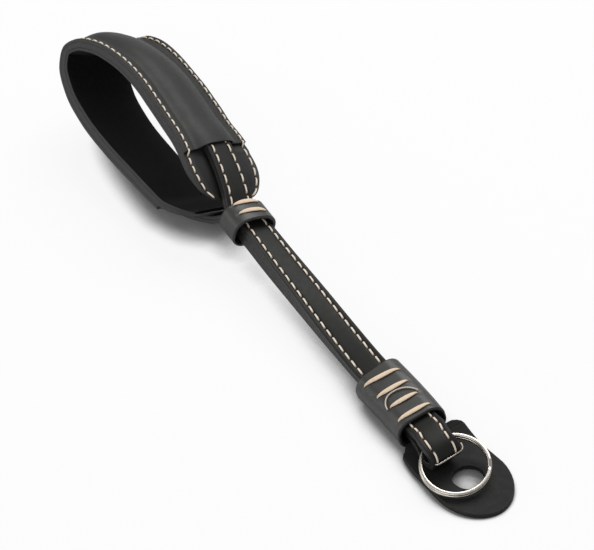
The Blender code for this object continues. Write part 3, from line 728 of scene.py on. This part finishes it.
UP_FIRST = S_TIP_UP + 0.8
UP_SPAN = S_MOUTH_UP - MOUTH_HOLE - UP_FIRST
UP_STEP = UP_SPAN / round(UP_SPAN / PAD_STITCH)
MID_FIRST = S_MOUTH_UP + 1.0
MID_SPAN = S_MOUTH_LOW - 1.0 - MID_FIRST
MID_STEP = MID_SPAN / round(MID_SPAN / PAD_STITCH)
LOW_FIRST = S_MOUTH_LOW + MOUTH_HOLE
LOW_LAST = S_TIP_LOW - 2.2


def base_section(s):
    h = base_half(s)
    floor = base_floor(s)
    out = smooth(beyond(s) / 0.8)
    top = BASE_TOP + (1 - out) * (COVER_FLOOR - BASE_TOP - 0.01)
    low_r = 0.06 + 0.24 * smooth((beyond(s) / TONGUE - 0.75) / 0.1)
    r = 0.06 + 0.30 * out
    hole = at_hole(s, UP_FIRST if s < S_END else LOW_FIRST, UP_STEP) if beyond(s) > 1.0 else 0.0
    right = [(h - 0.7, floor)] + corner(h - low_r, floor + low_r, low_r, -90, 0, 3)
    right += corner(h - r, top - r, r, 0, 90, 3)
    row = tongue_row(s)
    right += [(w, y + (top - BASE_TOP)) for w, y in groove(row, BASE_TOP, hole)]
    right += [(row - 1.8, top), (row - 2.8, top), (1.6, top), (0.5, top)]
    return [(w, y + far_lift(s, w)) for w, y in mirrored(right)]


def lining_section(s):
    h = base_half(s) - 0.05
    top = base_floor(s) - 0.01
    low = top - LINING_T * (1 - 0.45 * smooth((beyond(s) / TONGUE - 0.2) / 0.6))
    r = 0.3
    right = [(h - 0.05, top), (h, top - 0.05)] + corner(h - r, low + r, r, 0, -90, 3)
    right += [(11.5, low), (9.0, low), (4.5, low), (1.0, low)]
    return [(w, y + far_lift(s, w)) for w, y in mirrored(right)]


HUMP = through([(HUMP_HALF + 2.2, FLANGE_TOP), (HUMP_HALF + 1.0, FLANGE_TOP + 0.05),
                (HUMP_HALF - 0.1, 0.42), (HUMP_HALF - 1.3, 1.20), (5.6, HUMP_TOP - 0.72),
                (4.0, HUMP_TOP - 0.27), (2.2, HUMP_TOP - 0.05), (0.6, HUMP_TOP)], 3)
CHANNEL = through([(1.4, 1.80), (4.6, 1.78), (5.75, 1.3), (6.2, 0.2), (6.9, COVER_FLOOR)], 3)


def far_lift(s, w):
    """How far the pad's far edge curls outwards along the upper part of the loop."""
    reach = (max(w - 7.0, 0.0) / 7.0) ** 1.5
    past = s - S_MOUTH_UP
    rise = 0.5 * smooth((past - 10.0) / 10.0) + 2.4 * smooth((past - 34.0) / 26.0)
    return rise * reach * smooth((S_END - 2.0 - s) / 12.0)


def low_far(s, w, h):
    """A point of the pad's section with its far side fitted to the photograph."""
    if w > 0.0 and h > FLANGE_TOP + 0.01:
        h -= 0.35 * smooth(w / 5.0) * (h - FLANGE_TOP) / (HUMP_TOP - FLANGE_TOP)
    return w, h + far_lift(s, w)


def cover_section(s):
    hole = at_hole(s, MID_FIRST, MID_STEP)
    r = 0.42
    right = [(PAD_HALF - 0.08, COVER_FLOOR), (PAD_HALF - 0.01, COVER_FLOOR + 0.06)]
    right += corner(PAD_HALF - r, FLANGE_TOP - r, r, 0, 90, 3)
    right += groove(PAD_ROW, FLANGE_TOP, hole)
    right += [(p.x, p.y) for p in HUMP]
    inner = [(p.x, p.y) for p in CHANNEL]
    outside = [low_far(s, w, h) for w, h in mirrored(right)]
    return outside + [(-w, h) for w, h in reversed(inner)] + inner


def aslant(s, w):
    """The cover's end at the upper mouth is cut askew: further back on its far side."""
    return s + (1.4 + 0.125 * w) * (1 - smooth(abs(s - S_MOUTH_UP) / 17.0))


def pad_stations():
    step = UP_STEP / HOLES_PER
    up = spaced(S_TIP_UP, UP_FIRST, 0.25) + spaced(UP_FIRST, S_MOUTH_UP - MOUTH_HOLE, step)[1:]
    mid = spaced(S_MOUTH_UP - 1.0, S_MOUTH_LOW + 1.0, 1.0)
    low = spaced(LOW_FIRST, LOW_LAST, step) + spaced(LOW_LAST, S_TIP_LOW, 0.25)[1:]
    return up + mid + low


COVER_EDGE = 6
COVER_OUTER = 2 * (COVER_EDGE + 7 + len(HUMP))


def cover_slot(k):
    """Edge paint on the cover's cut sides, lining colour inside its channel."""
    if k < COVER_EDGE - 2 or COVER_OUTER - 1 - (COVER_EDGE - 2) <= k < COVER_OUTER - 1:
        return 1
    return 0 if k < COVER_OUTER - 1 else 2


pad_base = swept("pad_base_leather", pad_stations(), base_section, [PAD_LEATHER, EDGE_PAINT],
                 edge_slot(len(base_section(S_END)), 7))
# painted shade on the tongues, between their stitch rows and the belt, where the belt shades them
painted_shade = [smooth((tongue_row(s) - 0.6 - abs(w)) / 1.8) * smooth(beyond(s) / 0.5)
          for s in pad_stations() for w, h in base_section(s)]
pad_base.data.attributes.new("painted_shade", "FLOAT", "POINT").data.foreach_set("value", painted_shade)
belong(pad_base, "strap", "pad_leather", "pad_base")
LINING_FROM = S_TIP_UP + LINING_SHORT
LINING_TO = S_TIP_LOW - LINING_SHORT
lining_stations = [s for s in pad_stations() if LINING_FROM + 0.2 < s < LINING_TO - 0.2]
lining = swept("pad_lining_nap", [LINING_FROM] + lining_stations + [LINING_TO], lining_section,
               [LINING, EDGE_PAINT], edge_slot(len(lining_section(S_END)), 4))
belong(lining, "strap", "lining_leather", "pad_lining")
cover_stations = [S_MOUTH_UP, S_MOUTH_UP + 0.12]
cover_stations += spaced(MID_FIRST, S_MOUTH_LOW - 1.0, MID_STEP / HOLES_PER)
cover_stations += [S_MOUTH_LOW - 0.12, S_MOUTH_LOW]
cover = swept("pad_cover_leather", cover_stations, cover_section, [PAD_LEATHER, EDGE_PAINT, LINING],
              cover_slot, 1, aslant)
belong(cover, "strap", "pad_leather", "pad_cover")


def pad_place(sign):
    """Place of a pad row: on the cover, and stepping down to the base beyond its mouths."""
    def row(s):
        past = beyond(s)
        if past <= 0.0:
            return sign * PAD_ROW, FLANGE_TOP - 0.05 + far_lift(s, sign * PAD_ROW)
        fall = smooth(past / 1.2)
        sunk = 0.35 if s > S_MOUTH_LOW else 0.05
        return sign * tongue_row(s), FLANGE_TOP + (BASE_TOP - FLANGE_TOP) * fall - sunk
    return row


pad_spans = [(s, s + UP_STEP * 0.88) for s in spaced(UP_FIRST, S_MOUTH_UP - MOUTH_HOLE, UP_STEP)[:-1]]
pad_spans.append((S_MOUTH_UP - MOUTH_HOLE, S_MOUTH_UP + 0.9))
pad_spans += [(s, s + MID_STEP * 0.88) for s in spaced(MID_FIRST, S_MOUTH_LOW - 1.0, MID_STEP)[:-1]]
pad_spans += [(s, s + UP_STEP * 0.88) for s in spaced(LOW_FIRST, LOW_LAST, UP_STEP)[:-1]]
for side_name, sign in (("near", -1), ("far", 1)):
    seam = stitches("pad_stitches_" + side_name, pad_spans, pad_place(sign), SEAM_R, aslant)
    belong(seam, "strap", "seam_thread", "pad_seam_" + side_name)


# keeper and sleeve
def oval(half_w, half_h, r, sides):
    out = []
    for cx, cy, a0 in ((1, 1, 0), (-1, 1, 90), (-1, -1, 180), (1, -1, 270)):
        for k in range(sides):
            a = math.radians(a0 + 90.0 * k / (sides - 1))
            out.append((cx * (half_w - r) + r * math.cos(a), cy * (half_h - r) + r * math.sin(a)))
    return out


def arched(half_w, half_h, power, low_corner, sides):
    """Outline with an arched upper half and a rounded box below, points as in oval."""
    low = oval(half_w, half_h, low_corner, sides)
    out = []
    for i, (w, h) in enumerate(low):
        if i < 2 * sides:
            a = math.pi * i / (2 * sides - 1)
            c, d = math.cos(a), max(math.sin(a), 0.0)
            out.append((math.copysign(half_w * abs(c) ** (2 / power), c), half_h * d ** (2 / power)))
        else:
            out.append((w, h))
    return out


def runs_at(x):
    """Upper and lower run of the doubled belt at x, and its side direction."""
    p, side, out, along = BELT.frame(upper_s(x))
    low = lower_s(x) if x < JOIN_X - 1 else BELT.find_x(x, 0.0, S_NOSE)
    q = BELT.frame(low)[0] if abs(x - JOIN_X) > 1 else p - out * RUN_PITCH
    return p, q, side


def mid_frame(x):
    """Middle of the doubled belt at x: point, side, out and along directions."""
    p, q, side = runs_at(x)
    ahead = min(x + 2.0, FORK_X)
    a, b = runs_at(ahead)[:2]
    c, d = runs_at(ahead - 4.0)[:2]
    along = (c.lerp(d, 0.5) - a.lerp(b, 0.5)).normalized()
    side = (side - along * side.dot(along)).normalized()
    return p.lerp(q, 0.5), side, side.cross(along), along


def keeper_line():
    near, far = mid_frame(KEEPER_X[0]), mid_frame(KEEPER_AIM)
    along = (near[0] - far[0]).normalized()
    mid = mid_frame(0.5 * (KEEPER_X[0] + KEEPER_X[1]))
    side = side_of(KEEPER_ROLL, along)
    out = side.cross(along)
    half = abs(KEEPER_X[1] - KEEPER_X[0]) / 2
    centre = mid[0] + out * KEEPER_LIFT + side * KEEPER_ASIDE
    return [(centre - along * half, side, out, along), (centre + along * half, side, out, along)]


def between(frames, t):
    """Frame at the share t of a tube's length."""
    at = min(max(t, 0.0), 1.0) * (len(frames) - 1)
    i = min(int(at), len(frames) - 2)
    return [u.lerp(v, at - i) for u, v in zip(frames[i], frames[i + 1])]


def leather_tube(name, frames, outer, inner, drop, dents):
    """A rolled tube with rounded lips; dents(t, k) presses its outside in, in millimetres."""
    length = (frames[0][0] - frames[-1][0]).length
    lip = 0.55 / length
    shares = [lip + (1 - 2 * lip) * i / 60.0 for i in range(61)]
    outside = len(shares)
    rows = [(t, 1.0) for t in shares]
    rows += [(1 - lip + lip * math.sin(math.radians(a)), 0.5 + 0.5 * math.cos(math.radians(a)))
             for a in (30, 60, 90, 120, 150)]
    rows += [(t, 0.0) for t in reversed(shares[::6])]
    rows += [(lip - lip * math.sin(math.radians(a)), 0.5 - 0.5 * math.cos(math.radians(a)))
             for a in (30, 60, 90, 120, 150)]
    n = len(outer)
    verts = []
    for t, f in rows:
        p, side, out, along = between(frames, t)
        for k in range(n):
            w = inner[k][0] + (outer[k][0] - inner[k][0]) * f
            h = inner[k][1] + (outer[k][1] - inner[k][1]) * f
            size = math.hypot(outer[k][0], outer[k][1])
            press = dents(t, k) * f / size
            w -= outer[k][0] * press
            h -= outer[k][1] * press
            verts.append(p + side * w + out * (h - drop))
    faces = []
    slots = []
    m = len(rows)
    for i in range(m):
        for k in range(n):
            j = (k + 1) % n
            a, b = i * n, ((i + 1) % m) * n
            faces.append((a + k, a + j, b + j, b + k))
            lipped = outside <= i < outside + 4 or i >= m - 5
            inside = outside + 4 <= i < m - 5
            slots.append(1 if lipped else 2 if inside else 0)
    return make_object(name, verts, faces, [TUBE_LEATHER, EDGE_PAINT, LINING], slots)


def across(outline, right, left, steps):
    """Points over the upper side of an outline from right to left, with their outward directions."""
    top = sorted((q for q in outline if q[1] > 0), key=lambda q: -q[0])
    walk = [0.0]
    for i in range(1, len(top)):
        walk.append(walk[-1] + math.dist(top[i], top[i - 1]))
    lo, hi = walk[-1] * right, walk[-1] * (1 - left)
    out = []
    for k in range(steps):
        d = lo + (hi - lo) * k / (steps - 1)
        i = min(max(j for j in range(len(walk)) if walk[j] <= d + 1e-9), len(walk) - 2)
        t = (d - walk[i]) / max(walk[i + 1] - walk[i], 1e-9)
        nx, ny = top[i][1] - top[i + 1][1], top[i + 1][0] - top[i][0]
        size = math.hypot(nx, ny) or 1.0
        nx, ny = nx / size, ny / size
        if ny < 0:
            nx, ny = -nx, -ny
        w, h = (a * (1 - t) + b * t for a, b in zip(top[i], top[i + 1]))
        out.append((w, h, nx, ny))
    return out


def frame_on(frames, x):
    """Frame of a tube where its middle line reaches x."""
    xs = [f[0].x for f in frames]
    for i in range(len(frames) - 1):
        a, b = xs[i], xs[i + 1]
        if min(a, b) - 1e-6 <= x <= max(a, b) + 1e-6:
            t = (x - a) / (b - a)
            return [u.lerp(v, t) for u, v in zip(frames[i], frames[i + 1])]
    return list(frames[-1])


def cross_stitch(name, frames, outline, place, drop):
    """A thick thread laid over the tube's upper side, its ends going down into the leather."""
    x, right, left, skew = place
    steps = 33
    points = []
    ups = []
    fat = []
    sunk = []
    sides = 14
    for k, (w, h, nx, ny) in enumerate(across(outline, right, left, steps)):
        u = 2.0 * k / (steps - 1) - 1
        size = 0.22 + 0.86 * (1.0 - abs(u) ** 2.6)
        lift = CORD_R * 0.46 * size - 0.5 * max(abs(u) - 0.9, 0.0) / 0.1
        p, side, out, along = frame_on(frames, x + skew * u)
        points.append(p + side * (w + nx * lift) + out * (h + ny * lift - drop))
        ups.append(side * nx + out * ny)
        fat.append(size)
        # painted shade on the last part of each end, where the thread goes down into the leather
        sunk += [0.85 * smooth((abs(u) - 0.86) / 0.14)] * sides
    rings = tube_rings(points, CORD_R, sides, 0.55, ups, fat, 0.05, 0.12)
    faces = []
    skin(rings, faces)
    ob = make_object(name, [p for r in rings for p in r], faces, [CORD_THREAD])
    ob.data.attributes.new("sunk", "FLOAT", "POINT").data.foreach_set("value", sunk)
    return ob


def share_at(frames, x):
    """Share of a tube's length at x."""
    return (frames[0][0].x - x) / (frames[0][0].x - frames[-1][0].x)


def pinch(frames, outline, places, depth):
    """Dents in the leather where the ends of the thick stitches go in."""
    pits = []
    for x, right, left, skew in places:
        ends = across(outline, right, left, 2)
        for (w, h, nx, ny), u in zip(ends, (-1, 1)):
            pits.append((share_at(frames, x + skew * u), w, h))
    length = (frames[0][0] - frames[-1][0]).length

    def dents(t, k):
        w, h = outline[k]
        if h < 0:
            return 0.0
        near = [((t - u) * length / 1.1) ** 2 + ((w - pw) ** 2 + (h - ph) ** 2) / 1.3
                for u, pw, ph in pits]
        return depth * math.exp(-min(near))
    return dents


TUBE_SIDES = 19
keeper_frames = keeper_line()
keeper_out = arched(KEEPER_IN[0] + KEEPER_WALL, KEEPER_IN[1] + KEEPER_WALL, 2.4, KEEPER_ROUND,
                    TUBE_SIDES)
keeper = leather_tube("keeper_leather", keeper_frames, keeper_out,
                      arched(KEEPER_IN[0], KEEPER_IN[1], 2.6, 2.4, TUBE_SIDES), 0.0,
                      pinch(keeper_frames, keeper_out, KEEPER_STITCHES, PINCH))
belong(keeper, "keeper", "tube_leather", "keeper")
for i, place in enumerate(KEEPER_STITCHES):
    name = "keeper_stitch_%d" % (i + 1)
    cord = cross_stitch("cord_" + name, keeper_frames, keeper_out, place, 0.0)
    belong(cord, "keeper", "cord_thread", name)

sleeve_frames = [mid_frame(SLEEVE_X[0] + (SLEEVE_X[1] - SLEEVE_X[0]) * i / 4.0) for i in range(5)]
sleeve_out = oval(SLEEVE_IN[0] + SLEEVE_WALL - 0.02, SLEEVE_IN[1] + SLEEVE_WALL - 0.02, SLEEVE_ROUND,
                  TUBE_SIDES)
sleeve = leather_tube("sleeve_leather", sleeve_frames, sleeve_out,
                      oval(SLEEVE_IN[0], SLEEVE_IN[1], SLEEVE_ROUND - SLEEVE_WALL, TUBE_SIDES), SLEEVE_DROP,
                      pinch(sleeve_frames, sleeve_out, SLEEVE_STITCHES, PINCH))
belong(sleeve, "strap", "tube_leather", "sleeve")
for i, place in enumerate(SLEEVE_STITCHES):
    name = "sleeve_stitch_%d" % (i + 1)
    cord = cross_stitch("cord_" + name, sleeve_frames, sleeve_out, place, SLEEVE_DROP)
    belong(cord, "strap", "cord_thread", name)


# slack strand over the third stitch
def on_sleeve(w, x, lift):
    """A point above the sleeve's upper side."""
    p, side, out, along = frame_on(sleeve_frames, x)
    over = max(abs(w) - (SLEEVE_IN[0] + SLEEVE_WALL - SLEEVE_ROUND), 0.0)
    fall = SLEEVE_ROUND - math.sqrt(SLEEVE_ROUND ** 2 - over ** 2)
    return p + side * w + out * (SLEEVE_IN[1] + SLEEVE_WALL - SLEEVE_DROP + lift - fall)


# the strand's way over the sleeve: sideways, along, lift
STRAND = ((-6.0, -31.6, 0.4), (-5.5, -33.3, 0.45), (-4.3, -34.9, 0.5), (-2.6, -35.8, 0.5),
          (-0.6, -35.9, 0.45), (1.6, -35.3, 0.45), (3.3, -34.2, 0.4), (4.6, -32.7, 0.35),
          (5.4, -31.3, 0.35))


def plain_tube(name, points, radius, sides, material):
    rings = tube_rings(points, radius, sides)
    faces = []
    skin(rings, faces)
    return make_object(name, [p for r in rings for p in r], faces, [material])


strand_line = [Vector(p) for p in through([on_sleeve(w, x, lift) for w, x, lift in STRAND], 6)]
strand = plain_tube("slack_strand_thread", strand_line, STRAND_R, 10, STRAND_THREAD)
belong(strand, "strap", "cord_thread", "slack_strand")


# protector tab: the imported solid, with softened and painted edges
def tab_piece():
    """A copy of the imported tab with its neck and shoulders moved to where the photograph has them."""
    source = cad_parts["protector_tab"]
    ob = bpy.data.objects.new("tab_leather_piece", source.data.copy())
    bpy.context.scene.collection.objects.link(ob)
    ob.data.materials.clear()
    ob.data.materials.append(TAB_LEATHER)
    ob.data.materials.append(TAB_EDGE)
    weld = ob.modifiers.new("weld", "WELD")
    weld.merge_threshold = 0.000002
    flat = ob.modifiers.new("flat", "DECIMATE")
    flat.decimate_type = "DISSOLVE"
    flat.angle_limit = math.radians(0.6)
    soft = ob.modifiers.new("soft", "BEVEL")
    soft.width = 0.00042
    soft.segments = 3
    soft.limit_method = "ANGLE"
    soft.angle_limit = math.radians(38)
    soft.material = 1
    soft.harden_normals = True
    shade = ob.modifiers.new("shade", "WEIGHTED_NORMAL")
    shade.keep_sharp = True
    turn_back = REST.inverted()
    for v in ob.data.vertices:
        q = turn_back @ (v.co / MM - SHIFT)
        near = smooth((-q.y - 6.0) / 4.0)
        sway = TAB_SWAY * smooth((q.x - SLEEVE_X[0] - 0.8) / 1.2) * (1 - smooth((q.x + 18.0) / 16.0))
        waist = TAB_WAIST * math.exp(-((q.x + 13.6) / 5.2) ** 2)
        tuck = TAB_TUCK * smooth((-19.0 - q.x) / 1.5)
        shoulder = TAB_SHOULDER * smooth((abs(q.y) - 4.5) / 2.5) * (1 - smooth((q.x + 20.0) / 9.0))
        q.x -= shoulder * (1 - 0.6 * near)
        q.y += sway + near * (tuck - waist)
        v.co = placed(q)
    for poly in ob.data.polygons:
        poly.use_smooth = True
    return ob


belong(tab_piece(), "strap", "tab_leather", "protector_tab")


# split ring
def build_ring():
    """Two flattened turns of wire, one above the other, joined by a short step."""
    fore = Vector((math.cos(RING_PITCH), 0, -math.sin(RING_PITCH)))
    axis = side_of(RING_ROLL, fore)
    up = fore.cross(axis)
    steps = 300
    total = 2 * 360.0 - RING_SHORT
    outline = oval(RING_WIRE / 2, RING_TURN / 2, 0.36, 5)
    rings = []
    for i in range(steps + 1):
        deg = total * i / steps
        level = -0.5 + smooth((deg - RING_STEP_FROM) / RING_STEP_SPAN)
        a = math.radians(RING_STEP_AT + RING_SHORT / 2 + deg)
        u = fore * math.cos(a) + axis * math.sin(a)
        mid = RING_CENTRE + up * (level * (RING_TURN + RING_GAP)) + u * (RING_OUT - RING_WIRE / 2)
        close = min(i, steps - i)
        size = 1.0 if close > 1 else 0.8
        rings.append([mid + u * (w * size) + up * (h * size) for w, h in outline])
    faces = []
    skin(rings, faces)
    return make_object("ring_wire", [p for r in rings for p in r], faces, [RING_STEEL])


belong(build_ring(), "ring", "ring_steel", "split_ring")


# wire clip round the nose of the fold
def nose_point(w, deg, lift):
    """A point above the belt where it turns round the ring."""
    axis = side_of(NOSE_ROLL, Vector((1, 0, 0)))
    rise = Vector((1, 0, 0)).cross(axis)
    a = math.radians(deg)
    r = NOSE_R + BELT_TOP + lift
    return NOSE + axis * w + Vector((r * math.cos(a), 0, 0)) + rise * (r * math.sin(a))


# the clip's way round the fold: sideways, degrees round the nose, lift
CLIP = ((-4.5, 7, -0.3), (-4.1, 8, 0.4), (-3.3, 8, 0.72), (0.0, 8, 0.74), (3.2, 8, 0.74),
        (5.2, 12, 0.72), (5.8, 22, 0.4), (5.85, 32, -0.1))
clip_line = [Vector(p) for p in through([nose_point(w, deg, lift) for w, deg, lift in CLIP], 5)]
clip = plain_tube("clip_wire", clip_line, CLIP_R, 12, RING_STEEL)
belong(clip, "strap", "ring_steel", "fold_clip")


# floor and backdrop
def floor_material():
    """One pale surface: white to the camera in the open, its own shade where the strap closes it in, and
    painted shade there too, its colour going grey with ambient occlusion.
    """
    s = Shader("pale_floor")
    s.bsdf.inputs["Roughness"].default_value = 0.9
    s.bsdf.inputs["Specular IOR Level"].default_value = 0.0
    glow = s.add("ShaderNodeEmission", Strength=1.0)
    glow.inputs["Color"].default_value = (1, 1, 1, 1)
    share = s.add("ShaderNodeMixShader")
    ray = s.add("ShaderNodeLightPath")
    part = s.add("ShaderNodeMath", operation="MULTIPLY")
    clear = s.add("ShaderNodeAmbientOcclusion", samples=16, Distance=0.014)
    fade = s.add("ShaderNodeMapRange")
    for socket, value in (("From Min", 0.46), ("From Max", 0.74), ("To Min", 0.0), ("To Max", 0.88)):
        fade.inputs[socket].default_value = value
    s.link(clear.outputs["AO"], fade.inputs["Value"])
    s.link(fade.outputs["Result"], part.inputs[1])
    # painted shade: the floor's colour goes from pale to a mid grey where the strap closes it in
    colour = s.mix(fade.outputs["Result"], (0.34, 0.34, 0.34), (0.90, 0.90, 0.91))
    s.link(colour, s.bsdf.inputs["Base Color"])
    s.link(ray.outputs["Is Camera Ray"], part.inputs[0])
    s.link(part.outputs[0], share.inputs[0])
    s.link(s.bsdf.outputs[0], share.inputs[1])
    s.link(glow.outputs[0], share.inputs[2])
    s.link(share.outputs[0], s.tree.nodes["Material Output"].inputs["Surface"])
    return s.material


bpy.ops.mesh.primitive_plane_add(size=6.0, location=(0, 0, -0.0001))
floor = bpy.context.object
floor.name = "floor"
floor.data.materials.append(floor_material())

world = bpy.data.worlds.new("studio")
bpy.context.scene.world = world
world.use_nodes = True
tree = world.node_tree
plain = tree.nodes["Background"]
plain.inputs["Color"].default_value = (1, 1, 1, 1)
plain.inputs["Strength"].default_value = 0.36
white = tree.nodes.new("ShaderNodeBackground")
white.inputs["Color"].default_value = (1, 1, 1, 1)
white.inputs["Strength"].default_value = 1.0
pick = tree.nodes.new("ShaderNodeMixShader")
rays = tree.nodes.new("ShaderNodeLightPath")
tree.links.new(rays.outputs["Is Camera Ray"], pick.inputs[0])
tree.links.new(plain.outputs[0], pick.inputs[1])
tree.links.new(white.outputs[0], pick.inputs[2])
tree.links.new(pick.outputs[0], tree.nodes["World Output"].inputs["Surface"])


def lamp(name, where, target, size, power):
    light = bpy.data.lights.new(name, "AREA")
    light.shape = "RECTANGLE"
    light.size, light.size_y = size
    light.energy = power
    ob = bpy.data.objects.new(name, light)
    ob.location = where
    ob.rotation_euler = (Vector(target) - Vector(where)).to_track_quat("-Z", "Y").to_euler()
    bpy.context.scene.collection.objects.link(ob)


lamp("key", (-0.35, 0.55, 0.85), (-0.02, 0, 0.02), (0.9, 0.7), 8.2)
lamp("fill", (0.5, -0.75, 0.7), (0, 0, 0.02), (0.8, 0.6), 3.0)
lamp("side", (-0.55, -0.75, 0.40), (0, 0, 0.02), (0.5, 0.5), 1.7)

# camera
camera_data = bpy.data.cameras.new("camera")
camera_data.lens = CAMERA_LENS
camera_data.sensor_width = CAMERA_SENSOR
camera = bpy.data.objects.new("camera", camera_data)
bpy.context.scene.collection.objects.link(camera)
az, el, roll = CAMERA_AZIMUTH, CAMERA_ELEVATION, CAMERA_ROLL
back = Vector((math.sin(az) * math.cos(el), -math.cos(az) * math.cos(el), math.sin(el)))
level = Vector((math.cos(az), math.sin(az), 0))
upright = back.cross(level)
right = level * math.cos(roll) + upright * math.sin(roll)
above = back.cross(right)
camera.matrix_world = Matrix.Translation(CAMERA_AT) @ Matrix((right, above, back)).transposed().to_4x4()
bpy.context.scene.camera = camera

bpy.context.scene.view_settings.view_transform = "Standard"
